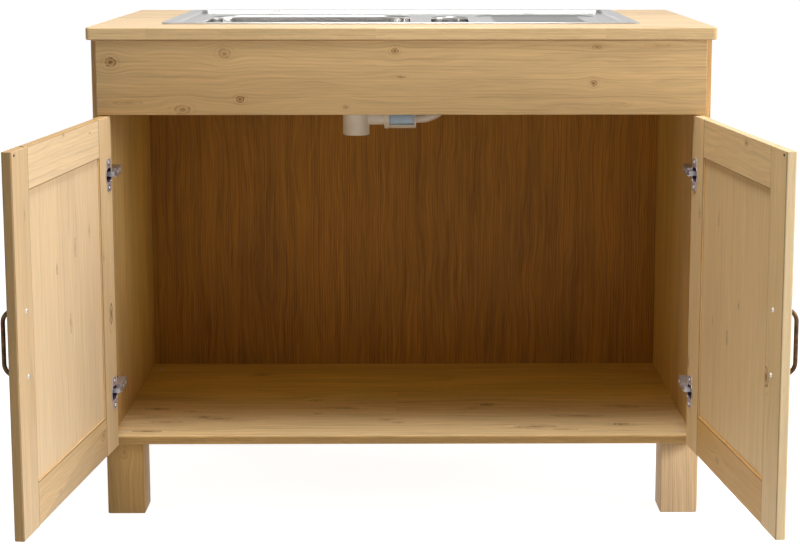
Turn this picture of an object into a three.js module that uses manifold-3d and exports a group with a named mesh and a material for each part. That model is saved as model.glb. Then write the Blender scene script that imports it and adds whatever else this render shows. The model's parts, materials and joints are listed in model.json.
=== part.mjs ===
// A pine sink base cabinet with an inset steel sink, millimetres, +Z up, doors facing -Y.
// The two doors stand open, as they do when the cabinet is shown off. The origin is on the
// floor, under the middle of the whole unit with its doors open.
import * as THREE from "three";
import { mergeVertices } from "three/addons/utils/BufferGeometryUtils.js";
import Module from "manifold-3d";

const wasm = await Module();
wasm.setup();

// ---- Driving dimensions ----

const SEAT = 0.25; // glue line or fitting clearance between two pieces that touch
const PAST = 1; // how far a cut runs past the piece that it cuts
const DEGREES = Math.PI / 180;

// Worktop
const WORKTOP_WIDTH = 1100;
const WORKTOP_DEPTH = 660;
const WORKTOP_THICKNESS = 22;
const WORKTOP_TOP = 885; // floor to working surface
const WORKTOP_CORNER = 7;
const WORKTOP_ARRIS = 2;

// Carcass
const CARCASS_WIDTH = 1089; // outside of one side to outside of the other
const REAR_OVERHANG = 20; // back of the sides to the back edge of the worktop
const SIDE_THICKNESS = 20;
const BOTTOM_THICKNESS = 16;
const BOTTOM_ARRIS = 4;
const LEG_SIZE = 68;
const LEG_INSET = 7.5; // outside of a side to outside of its legs
const LEG_SETBACK = 3; // front edge of a side to the front of its leg
const LEG_ARRIS = 3;
const BACK_THICKNESS = 4;
const BACK_PLACE = 575; // front edge of the worktop to the face of the back panel
const BACK_TOP_GAP = 4;
const BACK_GROOVE = 6;
const GROOVE_PLAY = 0.3;
const RAIL_HEIGHT = 90;
const RAIL_THICKNESS = 20;

// Fascia board over the doors
const FASCIA_SETBACK = 4; // front edge of the worktop to the fascia
const FASCIA_THICKNESS = 20;
const FASCIA_HEIGHT = 131;
const FASCIA_WIDTH = 1067;
const BOARD_ARRIS = 1.5;

// Doors
const DOOR_HEIGHT = 598;
const DOOR_THICKNESS = 16;
const DOOR_TOP_GAP = 2;
const DOOR_MIDDLE_GAP = 3;
const DOOR_RISE = 1; // top of the legs to the lower edge of the closed doors
const DOOR_SIDE_INSET = 0.5; // end of the fascia to the hinge edge of the closed door
const DOOR_OPEN = 96.5; // degrees, as the unit stands
const STILE_WIDTH = 76;
const TOP_RAIL = 67;
const BOTTOM_RAIL = 71;
const DOOR_ARRIS = 1.6;
const PANEL_THICKNESS = 8;
const PANEL_GROOVE = 8;
const TONGUE_PLAY = 1;
const TONGUE_SHOULDER = 6; // outer edge of a rail to its tongues

// Concealed hinges, simplified to one pin each
const HINGE_END = 103; // end of a door to its nearer hinge
const CUP_FROM_EDGE = 22.5; // hinge edge of the door to the middle of the cup
const CUP_RADIUS = 17.3;
const CUP_DEPTH = 13;
const CUP_WALL = 1;
const CUP_CLEARANCE = 0.5; // cup to its bore
const CUP_SIDES = 24;
const CUP_FLANGE_LENGTH = 58;
const CUP_FLANGE_WIDTH = 17;
const CUP_FLANGE_THICKNESS = 1.2;
const CUP_FLANGE_END = 1; // straight end of the flange between its round corners
const CUP_RIM_RADIUS = 19;
const NOTCH_PLAY = 1; // neck of the arm to each side of the cup's notch
const NOTCH_DEPTH = 5;
const PIN_RADIUS = 1.1;
const PIN_LENGTH = 16.96;
const PIN_PLAY = 0.3; // pin to the bore of its knuckle
const KNUCKLE_WALL = 0.8;
const KNUCKLE_CLEARANCE = 0.3; // knuckle to the floor of the cup
const ARM_REACH = 14.2; // pin to the inner face of the arm's riser
const ARM_SHEET = 2;
const NECK_HEIGHT = 8;
const ARM_START = 29; // front edge of the worktop to the arm's channel
const ARM_LENGTH = 58;
const ARM_HEIGHT = 15;
const PLATE_BASE = 2.5;
const PLATE_WING = 48;
const PLATE_WING_WIDTH = 12;
const PLATE_RAIL_HEIGHT = 10;
const PLATE_RAIL_END = 6; // end of the arm to the end of the plate's rail

// Bow handles
const HANDLE_FROM_EDGE = 45;
const HANDLE_HOLES = 102;
const HANDLE_RADIUS = 3.75;
const HANDLE_REACH = 21.5; // door to the middle of the grip
const HANDLE_BEND = 19;
const SCREW_RADIUS = 2;
const SCREW_HOLE = 2.5;
const SCREW_BITE = 7; // length of screw inside the handle
const SCREW_HEAD_RADIUS = 3.8;
const SCREW_FACE_RADIUS = 3;
const SCREW_HEAD_HEIGHT = 2;

// Inset sink
const SINK_WIDTH = 860;
const SINK_DEPTH = 500;
const SINK_FRONT = 104; // front edge of the worktop to the sink
const SINK_SHIFT = -3; // middle of the sink from the middle of the worktop
const SINK_OVERLAP = 10; // rim of the sink on the worktop
const SINK_CORNER = 10;
const SINK_RIM = 3;
const SHEET = 1;
const RIM_EDGE = 1.2;
const DECK_INSET = 24;
const DECK_DROP = 6;
const DECK_CORNER = 16;
const BOWL_FROM_LEFT = 57;
const BOWL_FROM_FRONT = 48;
const BOWL_WIDTH = 390;
const BOWL_LENGTH = 330;
const BOWL_DEPTH = 156;
const BOWL_CORNER = 62;
const BOWL_FLOOR_RADIUS = 26;
const SMALL_FROM_LEFT = 487;
const SMALL_WIDTH = 72;
const SMALL_LENGTH = 250;
const SMALL_DEPTH = 36;
const SMALL_END = 2; // straight end of the small bowl between its round corners
const SMALL_FLOOR_RADIUS = 16;
const DRAINER_FROM_LEFT = 576;
const DRAINER_FROM_RIGHT = 52;
const DRAINER_LENGTH = 340;
const DRAINER_DROP = 1.5;
const DRAINER_CORNER = 40;
const DRAINER_RIBS = 7;
const RIB_RADIUS = 2.2;
const RIB_MARGIN = 34;
const OUTLET_PLAY = 1; // sheet of the sink to each waste that passes through it
const SEAL_WIDTH = 7;
const SEAL_THICKNESS = 1.5;
const SEAL_CORNER = 2;
const CLIP_LENGTH = 24;
const CLIP_SHEET = 2;
const CLIP_GRIP = 14;
const CLIP_SPREAD = 260; // middle of the sink to a clip

// Waste of the main bowl
const WASTE_FROM_LEFT = 343;
const WASTE_FLANGE_RADIUS = 56;
const WASTE_CUP_RADIUS = 42;
const WASTE_CUP_DEPTH = 11;
const WASTE_SLOTS = 6;
const WASTE_SLOT_RADIUS = 8;
const WASTE_SLOT_RING = 25;
const WASTE_BODY_RADIUS = 46;
const WASTE_BODY_WALL = 2.5;
const WASTE_BODY_PLAY = 2; // cup to the top of the body's hollow
const WASTE_BODY_FLANGE = 4;
const WASTE_BAR_HEIGHT = 6;
const WASTE_BAR_WIDTH = 4;
const WASTE_HUB_RADIUS = 6;
const SPIGOT_RADIUS = 25.5;
const SPIGOT_WALL = 3;
const SPIGOT_DROP = 64; // floor of the bowl to the open end of the spigot
const SPIGOT_LEAD = 3; // height of the taper at its end
const WASTE_SCREW_RADIUS = 2.5;
const WASTE_SCREW_HEAD = 6;
const WASTE_SCREW_FACE = 5;
const WASTE_SCREW_HEIGHT = 2.5;

// Strainer basket
const STRAINER_RADIUS = 46;
const STRAINER_PLAY = 2; // basket to the waste's cup
const STRAINER_FLOOR = 5; // floor of the cup to the floor of the basket
const STRAINER_KNOB = 13;
const STRAINER_KNOB_RADIUS = 7;
const STRAINER_KNOB_HEIGHT = 4;
const STRAINER_STEM = 3;
const STRAINER_HOLE = 3;
const STRAINER_RINGS = [[14, 6], [26, 10]]; // radius of each ring of holes, and its holes

// Link from the main waste to the small bowl
const LINK_DROP = 33; // floor of the bowl to the middle of the pipe
const LINK_RADIUS = 12;
const LINK_WALL = 2;
const LINK_START = 29; // middle of the waste to the joint of branch and pipe
const LINK_LENGTH = 25;
const COLLAR_RADIUS = 19;
const COLLAR_LENGTH = 10;
const SLEEVE_RADIUS = 15.5;
const SLEEVE_WALL = 3;
const SLEEVE_LENGTH = 47;
const CRADLE_WALL = 3;
const CRADLE_RISE = 7.6; // bottom of the cradle to its open edges
const ELBOW_RADIUS = 8.5;
const ELBOW_WALL = 1.5;
const ELBOW_LEAD = 8; // straight run before the bend
const ELBOW_RUN = 24; // pull of the bend along the pipe
const ELBOW_SWEEP = 46; // pull of the bend down from its top
const ELBOW_TOP_RUN = 58; // straight run after the bend
const SMALL_FLANGE_MARGIN = 1; // flat floor left round the small waste
const SMALL_TUBE_RADIUS = 13;
const SMALL_TUBE_WALL = 2;
const SMALL_TUBE_LENGTH = 25;
const SMALL_TUBE_FOOT = 3;
const PLUG_PLAY = 1;
const PLUG_DEPTH = 8;
const PLUG_MARGIN = 3; // edge of the small waste to the edge of the plug
const PLUG_THICKNESS = 2;
const PLUG_KNOB = 11;
const PLUG_KNOB_RADIUS = 5;
const PLUG_KNOB_HEIGHT = 4;
const PLUG_STEM = 3;

// ---- Places worked out from them ----

const worktopUnderside = WORKTOP_TOP - WORKTOP_THICKNESS;
const sideOuter = CARCASS_WIDTH / 2;
const sideInner = sideOuter - SIDE_THICKNESS;
const carcassFront = FASCIA_SETBACK + FASCIA_THICKNESS;
const carcassRear = WORKTOP_DEPTH - REAR_OVERHANG;
const fasciaBottom = worktopUnderside - FASCIA_HEIGHT;
const doorTop = fasciaBottom - DOOR_TOP_GAP;
const doorBottom = doorTop - DOOR_HEIGHT;
const legHeight = doorBottom - DOOR_RISE; // what is left under the doors
const bottomTop = legHeight + BOTTOM_THICKNESS;
const doorEdge = FASCIA_WIDTH / 2 - DOOR_SIDE_INSET;
const doorWidth = doorEdge - DOOR_MIDDLE_GAP / 2;
const hingeHeights = [doorBottom + HINGE_END, doorTop - HINGE_END];

// The pin lies just over the floor of its cup, and as near the door's edge as its length lets
// it go inside the cup's round wall.
const knuckleBore = PIN_RADIUS + PIN_PLAY;
const knuckleRadius = knuckleBore + KNUCKLE_WALL;
const pinDepth = CUP_DEPTH - CUP_WALL - KNUCKLE_CLEARANCE - knuckleRadius;
const cupInside = (CUP_RADIUS - CUP_WALL) * Math.cos(Math.PI / CUP_SIDES);
const pinFromCup = Math.sqrt(cupInside ** 2 - (PIN_LENGTH / 2 + SEAT) ** 2) - PIN_RADIUS;
const pinFromEdge = CUP_FROM_EDGE - pinFromCup;
const pinX = doorEdge - pinFromEdge;
const pinY = FASCIA_SETBACK + DOOR_THICKNESS - pinDepth;

const sinkLeft = SINK_SHIFT - SINK_WIDTH / 2;
const sinkRear = SINK_FRONT + SINK_DEPTH;
const rimTop = WORKTOP_TOP + SINK_RIM;
const deckTop = rimTop - DECK_DROP;
const bowlLeft = sinkLeft + BOWL_FROM_LEFT;
const bowlMiddle = SINK_FRONT + BOWL_FROM_FRONT + BOWL_LENGTH / 2;
const bowlFloor = deckTop - BOWL_DEPTH;
const smallLeft = sinkLeft + SMALL_FROM_LEFT;
const smallFloor = deckTop - SMALL_DEPTH;
const smallX = smallLeft + SMALL_WIDTH / 2;
const smallFlange = SMALL_WIDTH / 2 - SMALL_FLOOR_RADIUS - SMALL_FLANGE_MARGIN;
const drainerLeft = sinkLeft + DRAINER_FROM_LEFT;
const drainerWidth = SINK_WIDTH - DRAINER_FROM_LEFT - DRAINER_FROM_RIGHT;
const drainerFloor = deckTop - DRAINER_DROP;
const wasteX = sinkLeft + WASTE_FROM_LEFT;
const wasteFlangeTop = bowlFloor + SEAT + SHEET;
const wasteCupFloor = wasteFlangeTop - WASTE_CUP_DEPTH;
const spigotEnd = bowlFloor - SPIGOT_DROP;
const linkAxis = bowlFloor - LINK_DROP;
const smallTubeFoot = smallFloor + SEAT + SHEET - SMALL_TUBE_LENGTH;

// ---- Materials ----

const finish = (color, roughness, metalness = 0) =>
  new THREE.MeshStandardMaterial({ color, roughness, metalness });
const pine = finish(0xdcb888, 0.55);
const worktopPine = finish(0xf2d3a8, 0.45);
const veneer = finish(0x9a7446, 0.6);
const stainless = finish(0xc9c8c4, 0.28, 1);
const hingeSteel = finish(0xa9a8aa, 0.35, 1);
const bronze = finish(0x5b4630, 0.45, 0.8);
const whitePlastic = finish(0xe6d8c2, 0.5);
const bluePlastic = finish(0xa9c6dc, 0.4);
const rubber = finish(0x3b3b3b, 0.9);

// ---- Geometry helpers ----

function toSolid(geometry) {
  const bare = geometry.clone();
  bare.deleteAttribute("normal");
  bare.deleteAttribute("uv");
  const merged = mergeVertices(bare);
  const index = merged.index.array;
  const triangles = [];
  for (let i = 0; i < index.length; i += 3) {
    const [a, b, c] = [index[i], index[i + 1], index[i + 2]];
    if (a !== b && b !== c && c !== a) triangles.push(a, b, c);
  }
  const vertProperties = merged.attributes.position.array;
  const triVerts = Uint32Array.from(triangles);
  return new wasm.Manifold(new wasm.Mesh({ numProp: 3, vertProperties, triVerts }));
}

function toGeometry(solid) {
  const { vertProperties, triVerts } = solid.getMesh();
  const geometry = new THREE.BufferGeometry();
  geometry.setAttribute("position", new THREE.BufferAttribute(vertProperties.slice(), 3));
  geometry.setIndex(new THREE.BufferAttribute(triVerts.slice(), 1));
  geometry.computeVertexNormals();
  return geometry;
}

// A base geometry with others joined to it and then others cut from it.
function carve(base, { join = [], cut = [] }) {
  let solid = toSolid(base);
  for (const piece of join) solid = solid.add(toSolid(piece));
  for (const piece of cut) solid = solid.subtract(toSolid(piece));
  return toGeometry(solid);
}

function block(x0, x1, y0, y1, z0, z1) {
  const geometry = new THREE.BoxGeometry(x1 - x0, y1 - y0, z1 - z0);
  return geometry.translate((x0 + x1) / 2, (y0 + y1) / 2, (z0 + z1) / 2);
}

function outline(points) {
  return new THREE.Shape(points.map(([x, y]) => new THREE.Vector2(x, y)));
}

// A rectangle in the shape's own plane, with its corners rounded.
function roundedRectangle(x0, x1, y0, y1, radius, Kind = THREE.Shape) {
  const shape = new Kind();
  shape.moveTo(x0 + radius, y0);
  shape.lineTo(x1 - radius, y0);
  shape.absarc(x1 - radius, y0 + radius, radius, -Math.PI / 2, 0);
  shape.lineTo(x1, y1 - radius);
  shape.absarc(x1 - radius, y1 - radius, radius, 0, Math.PI / 2);
  shape.lineTo(x0 + radius, y1);
  shape.absarc(x0 + radius, y1 - radius, radius, Math.PI / 2, Math.PI);
  shape.lineTo(x0, y0 + radius);
  shape.absarc(x0 + radius, y0 + radius, radius, Math.PI, 1.5 * Math.PI);
  return shape;
}

// A shape drawn in plan and raised from z0 to z1.
function raise(shape, z0, z1, curveSegments = 4) {
  const options = { depth: z1 - z0, bevelEnabled: false, curveSegments };
  return new THREE.ExtrudeGeometry(shape, options).translate(0, 0, z0);
}

// A shape drawn in plan whose lower edge is rounded, as on a pressed bowl, from z0 up to z1.
function pressed(shape, z0, z1, radius) {
  const options = {
    depth: z1 - z0 - 2 * radius,
    bevelThickness: radius,
    bevelSize: radius,
    bevelOffset: -radius,
    bevelSegments: 3,
    curveSegments: 4,
  };
  return new THREE.ExtrudeGeometry(shape, options).translate(0, 0, z0 + radius);
}

// A shape drawn across a board, in Y and Z, run along X from x0 to x1.
function run(shape, x0, x1) {
  const options = { depth: x1 - x0, bevelEnabled: false, curveSegments: 2 };
  const geometry = new THREE.ExtrudeGeometry(shape, options);
  geometry.rotateZ(Math.PI / 2).rotateY(Math.PI / 2);
  return geometry.translate(x0, 0, 0);
}

// A round section swept along a path of lines and curves, with a bore if one is given.
function sweep(path, radius, bore, steps) {
  const section = new THREE.Shape().absarc(0, 0, radius, 0, 2 * Math.PI);
  if (bore) section.holes.push(new THREE.Path().absarc(0, 0, bore, 0, 2 * Math.PI));
  return new THREE.ExtrudeGeometry(section, { steps, extrudePath: path, curveSegments: 5 });
}

// A plain round bar along Z, then the same along Y and along the link's own line in X.
function rod(radius, x, y, z0, z1, sides = 20) {
  const geometry = new THREE.CylinderGeometry(radius, radius, z1 - z0, sides);
  return geometry.rotateX(Math.PI / 2).translate(x, y, (z0 + z1) / 2);
}

function peg(radius, x, z, y0, y1, sides = CUP_SIDES) {
  const geometry = new THREE.CylinderGeometry(radius, radius, y1 - y0, sides);
  return geometry.translate(x, (y0 + y1) / 2, z);
}

function linkBar(radius, x0, x1, sides = 20) {
  const bar = new THREE.CylinderGeometry(radius, radius, x1 - x0, sides).rotateZ(Math.PI / 2);
  return bar.translate((x0 + x1) / 2, bowlMiddle, linkAxis);
}

// A piece turned about Z at a place in plan, from half of its section in radius and height. The
// section starts and ends on the axis, or, for a ring, closes on itself.
function turned(section, x, y, sides = 20) {
  const points = section.map(([r, z]) => new THREE.Vector2(r, z));
  const geometry = new THREE.LatheGeometry(points, sides).rotateX(Math.PI / 2);
  return toGeometry(toSolid(geometry)).translate(x, y, 0);
}

function turnedRing(section, x, y, sides = 20) {
  return turned([...section, section[0]], x, y, sides);
}

function mesh(name, material, geometry, parent) {
  const piece = new THREE.Mesh(geometry, material);
  piece.name = name;
  parent.add(piece);
  return piece;
}

const ascending = (a, b) => a - b;

// ---- Worktop and carcass ----

function buildWorktop(parent) {
  const half = WORKTOP_WIDTH / 2;
  const plan = roundedRectangle(-half, half, 0, WORKTOP_DEPTH, WORKTOP_CORNER);
  const options = {
    depth: WORKTOP_THICKNESS - 2 * WORKTOP_ARRIS,
    bevelThickness: WORKTOP_ARRIS,
    bevelSize: WORKTOP_ARRIS,
    bevelOffset: -WORKTOP_ARRIS,
    bevelSegments: 1,
    curveSegments: 3,
  };
  const slab = new THREE.ExtrudeGeometry(plan, options);
  slab.translate(0, 0, worktopUnderside + WORKTOP_ARRIS);
  const hole = roundedRectangle(
    sinkLeft + SINK_OVERLAP,
    sinkLeft + SINK_WIDTH - SINK_OVERLAP,
    SINK_FRONT + SINK_OVERLAP,
    sinkRear - SINK_OVERLAP,
    SINK_CORNER,
  );
  const through = raise(hole, worktopUnderside - PAST, WORKTOP_TOP + PAST, 3);
  mesh("worktop", worktopPine, carve(slab, { cut: [through] }), parent);
}

function buildSide(parent, name, side) {
  const grooveFront = BACK_PLACE - GROOVE_PLAY;
  const grooveRear = BACK_PLACE + BACK_THICKNESS + GROOVE_PLAY;
  const section = [
    [sideOuter, carcassFront + SEAT],
    [sideOuter, carcassRear],
    [sideInner, carcassRear],
    [sideInner, grooveRear],
    [sideInner + BACK_GROOVE, grooveRear],
    [sideInner + BACK_GROOVE, grooveFront],
    [sideInner, grooveFront],
    [sideInner, carcassFront + SEAT],
  ].map(([x, y]) => [side * x, y]);
  const geometry = raise(outline(section), legHeight + SEAT, worktopUnderside - SEAT);
  mesh(name, pine, geometry, parent);
}

function buildBottom(parent) {
  const grooveFront = BACK_PLACE - GROOVE_PLAY;
  const grooveRear = BACK_PLACE + BACK_THICKNESS + GROOVE_PLAY;
  const low = legHeight + SEAT;
  const section = new THREE.Shape();
  section.moveTo(carcassFront, low);
  section.lineTo(carcassRear, low);
  section.lineTo(carcassRear, bottomTop);
  section.lineTo(grooveRear, bottomTop);
  section.lineTo(grooveRear, bottomTop - BACK_GROOVE);
  section.lineTo(grooveFront, bottomTop - BACK_GROOVE);
  section.lineTo(grooveFront, bottomTop);
  section.lineTo(carcassFront + BOTTOM_ARRIS, bottomTop);
  section.absarc(
    carcassFront + BOTTOM_ARRIS,
    bottomTop - BOTTOM_ARRIS,
    BOTTOM_ARRIS,
    Math.PI / 2,
    Math.PI,
  );
  const geometry = run(section, SEAT - sideInner, sideInner - SEAT);
  mesh("bottom_panel", pine, geometry, parent);
}

function buildBack(parent) {
  const width = 2 * (sideInner + BACK_GROOVE - SEAT);
  const low = bottomTop - BACK_GROOVE + SEAT;
  const height = worktopUnderside - BACK_TOP_GAP - low;
  const geometry = new THREE.BoxGeometry(width, BACK_THICKNESS, height);
  const panel = mesh("back_panel", veneer, geometry, parent);
  panel.position.set(0, BACK_PLACE + BACK_THICKNESS / 2, low + height / 2);
}

function buildRearRail(parent) {
  const top = worktopUnderside - SEAT;
  const section = roundedRectangle(
    carcassRear - RAIL_THICKNESS,
    carcassRear,
    top - RAIL_HEIGHT,
    top,
    BOARD_ARRIS,
  );
  mesh("rear_rail", pine, run(section, SEAT - sideInner, sideInner - SEAT), parent);
}

function buildFascia(parent) {
  const section = roundedRectangle(
    FASCIA_SETBACK,
    carcassFront,
    fasciaBottom,
    worktopUnderside - SEAT,
    BOARD_ARRIS,
  );
  mesh("fascia", pine, run(section, -FASCIA_WIDTH / 2, FASCIA_WIDTH / 2), parent);
}

function buildLegs(parent) {
  const half = LEG_SIZE / 2;
  const plan = roundedRectangle(-half, half, -half, half, LEG_ARRIS);
  const x = sideOuter - LEG_INSET - half;
  const rows = {
    front: carcassFront + LEG_SETBACK + half,
    rear: carcassRear - half,
  };
  for (const [row, y] of Object.entries(rows)) {
    for (const [hand, side] of [["left", -1], ["right", 1]]) {
      const leg = mesh(`leg_${row}_${hand}`, pine, raise(plan, 0, legHeight, 2), parent);
      leg.position.set(side * x, y, 0);
    }
  }
}

// ---- Doors ----
// A door's group has its origin on the pin line. Along the closed door x runs from the pin to
// the free edge (times the door's direction), and the inner face is at +pinDepth in y.

const faceInner = pinDepth;
const faceOuter = pinDepth - DOOR_THICKNESS;
const hingeEnd = -pinFromEdge;
const freeEnd = hingeEnd + doorWidth;
const railStart = hingeEnd + STILE_WIDTH;
const railEnd = freeEnd - STILE_WIDTH;
const panelMiddle = (faceInner + faceOuter) / 2;
const grooveHalf = PANEL_THICKNESS / 2 + GROOVE_PLAY;
const tongueReach = PANEL_GROOVE - TONGUE_PLAY;

// A stile's or rail's section, with its outer corners eased and a groove for the panel.
function framedSection(outerEdge, innerEdge) {
  const inward = Math.sign(innerEdge - outerEdge);
  const floor = innerEdge - inward * PANEL_GROOVE;
  const arris = inward * DOOR_ARRIS;
  return [
    [outerEdge, faceOuter + DOOR_ARRIS],
    [outerEdge + arris, faceOuter],
    [innerEdge, faceOuter],
    [innerEdge, panelMiddle - grooveHalf],
    [floor, panelMiddle - grooveHalf],
    [floor, panelMiddle + grooveHalf],
    [innerEdge, panelMiddle + grooveHalf],
    [innerEdge, faceInner],
    [outerEdge + arris, faceInner],
    [outerEdge, faceInner - DOOR_ARRIS],
  ];
}

function stile(outerEdge, innerEdge, direction) {
  const section = framedSection(outerEdge, innerEdge).map(([x, y]) => [direction * x, y]);
  return raise(outline(section), doorBottom, doorTop);
}

// A rail's tongues stand in the grooves of the two stiles.
function rail(outerEdge, innerEdge, direction) {
  const section = framedSection(outerEdge, innerEdge).map(([z, y]) => [y, z]);
  const [low, high] = [direction * railStart, direction * railEnd].sort(ascending);
  const bar = run(outline(section), low + SEAT, high - SEAT);
  const half = PANEL_THICKNESS / 2;
  const inward = Math.sign(innerEdge - outerEdge);
  const edges = [outerEdge + inward * TONGUE_SHOULDER, innerEdge - inward * PANEL_GROOVE];
  const [z0, z1] = edges.sort(ascending);
  const [x0, x1] = [low - tongueReach, high + tongueReach];
  const tongues = block(x0, x1, panelMiddle - half, panelMiddle + half, z0, z1);
  return carve(bar, { join: [tongues] });
}

function buildDoor(unit, hand, side) {
  const direction = -side;
  const door = new THREE.Group();
  door.position.set(side * pinX, pinY, 0);
  door.rotation.z = side * DOOR_OPEN * DEGREES;
  unit.add(door);

  const cupX = direction * pinFromCup;
  const boreFloor = faceInner - CUP_DEPTH - SEAT;
  const bores = hingeHeights.map((z) =>
    peg(CUP_RADIUS + CUP_CLEARANCE, cupX, z, boreFloor, faceInner + PAST),
  );
  const hingeStile = stile(hingeEnd, railStart, direction);
  mesh(`${hand}_hinge_stile`, pine, carve(hingeStile, { cut: bores }), door);

  const handleX = direction * (freeEnd - HANDLE_FROM_EDGE);
  const handleZ = (doorTop + doorBottom) / 2;
  const holes = [handleZ - HANDLE_HOLES / 2, handleZ + HANDLE_HOLES / 2].map((z) =>
    peg(SCREW_HOLE, handleX, z, faceOuter - PAST, faceInner + PAST, 16),
  );
  const freeStile = stile(freeEnd, railEnd, direction);
  mesh(`${hand}_free_stile`, pine, carve(freeStile, { cut: holes }), door);

  const topRail = rail(doorTop, doorTop - TOP_RAIL, direction);
  mesh(`${hand}_top_rail`, pine, topRail, door);
  const bottomRail = rail(doorBottom, doorBottom + BOTTOM_RAIL, direction);
  mesh(`${hand}_bottom_rail`, pine, bottomRail, door);

  const panelHeight = DOOR_HEIGHT - TOP_RAIL - BOTTOM_RAIL + 2 * tongueReach;
  const panelWidth = railEnd - railStart + 2 * tongueReach;
  const sheet = new THREE.BoxGeometry(panelWidth, PANEL_THICKNESS, panelHeight);
  const panel = mesh(`${hand}_panel`, pine, sheet, door);
  const panelZ = doorBottom + BOTTOM_RAIL - tongueReach + panelHeight / 2;
  panel.position.set((direction * (railStart + railEnd)) / 2, panelMiddle, panelZ);

  buildHandle(door, hand, handleX, handleZ);
  buildHandleScrews(door, hand, handleX, handleZ);
  hingeHeights.forEach((z, i) => {
    const name = `${hand}_${["lower", "upper"][i]}_hinge`;
    buildCup(door, name, cupX, z);
    buildArm(unit, name, side, z);
  });
}

const handleSeat = faceOuter - SEAT;

// A round bar bent into a bow, with a tapped hole up each end.
function buildHandle(door, hand, x, z) {
  const half = HANDLE_HOLES / 2;
  const grip = faceOuter - HANDLE_REACH;
  const straight = grip + HANDLE_BEND;
  const bend = HANDLE_BEND * 0.5523; // control length of a quarter circle
  const at = (y, up) => new THREE.Vector3(0, y, up);
  const path = new THREE.CurvePath();
  path.add(new THREE.LineCurve3(at(handleSeat, half), at(straight, half)));
  path.add(
    new THREE.CubicBezierCurve3(
      at(straight, half),
      at(straight - bend, half),
      at(grip, half - HANDLE_BEND + bend),
      at(grip, half - HANDLE_BEND),
    ),
  );
  path.add(new THREE.LineCurve3(at(grip, half - HANDLE_BEND), at(grip, HANDLE_BEND - half)));
  path.add(
    new THREE.CubicBezierCurve3(
      at(grip, HANDLE_BEND - half),
      at(grip, HANDLE_BEND - half - bend),
      at(straight - bend, -half),
      at(straight, -half),
    ),
  );
  path.add(new THREE.LineCurve3(at(straight, -half), at(handleSeat, -half)));
  const end = handleSeat - SCREW_BITE - SEAT;
  const taps = [-half, half].map((up) =>
    peg(SCREW_RADIUS + SEAT, 0, up, end, handleSeat + PAST, 12),
  );
  const bow = carve(sweep(path, HANDLE_RADIUS, 0, 28), { cut: taps });
  mesh(`${hand}_handle`, bronze, bow, door).position.set(x, 0, z);
}

function buildHandleScrews(door, hand, x, z) {
  const tip = handleSeat - SCREW_BITE;
  const seat = faceInner + SEAT;
  const section = [
    [0, tip],
    [SCREW_RADIUS, tip],
    [SCREW_RADIUS, seat],
    [SCREW_HEAD_RADIUS, seat],
    [SCREW_FACE_RADIUS, seat + SCREW_HEAD_HEIGHT],
    [0, seat + SCREW_HEAD_HEIGHT],
  ].map(([r, y]) => new THREE.Vector2(r, y));
  for (const [level, end] of [["lower", -1], ["upper", 1]]) {
    const screw = toGeometry(toSolid(new THREE.LatheGeometry(section, 12)));
    const piece = mesh(`${hand}_handle_screw_${level}`, hingeSteel, screw, door);
    piece.position.set(x, 0, z + (end * HANDLE_HOLES) / 2);
  }
}

// ---- Hinges ----

// A pressed cup in the door's bore, with a flange for two screws and a notch towards the
// hinge edge for the neck of the arm. The pin lies across the cup.
function buildCup(door, name, x, z) {
  const towardEdge = -Math.sign(x);
  const top = faceInner + SEAT;
  const rim = top + CUP_FLANGE_THICKNESS;
  const cup = peg(CUP_RADIUS, 0, 0, faceInner - CUP_DEPTH, rim);
  const hollow = peg(CUP_RADIUS - CUP_WALL, 0, 0, faceInner - CUP_DEPTH + CUP_WALL, rim + PAST);
  const ring = peg(CUP_RIM_RADIUS, 0, 0, top, rim);
  const w = CUP_FLANGE_WIDTH / 2;
  const l = CUP_FLANGE_LENGTH / 2;
  const corner = (CUP_FLANGE_WIDTH - CUP_FLANGE_END) / 2;
  const flange = raise(roundedRectangle(-w, w, -l, l, corner), 0, CUP_FLANGE_THICKNESS);
  flange.rotateX(Math.PI / 2).translate(0, rim, 0);
  const slot = NECK_HEIGHT / 2 + NOTCH_PLAY;
  const ends = [towardEdge * pinFromCup, towardEdge * (CUP_RIM_RADIUS + PAST)].sort(ascending);
  const notch = block(...ends, faceInner - NOTCH_DEPTH, rim + PAST, -slot, slot);
  const geometry = carve(cup, { join: [ring, flange], cut: [hollow, notch] });
  mesh(`${name}_cup`, hingeSteel, geometry, door).position.set(x, 0, z);

  const pin = rod(PIN_RADIUS, 0, 0, -PIN_LENGTH / 2, PIN_LENGTH / 2, 12);
  mesh(`${name}_pin`, hingeSteel, pin, door).position.set(0, 0, z);
}

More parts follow.
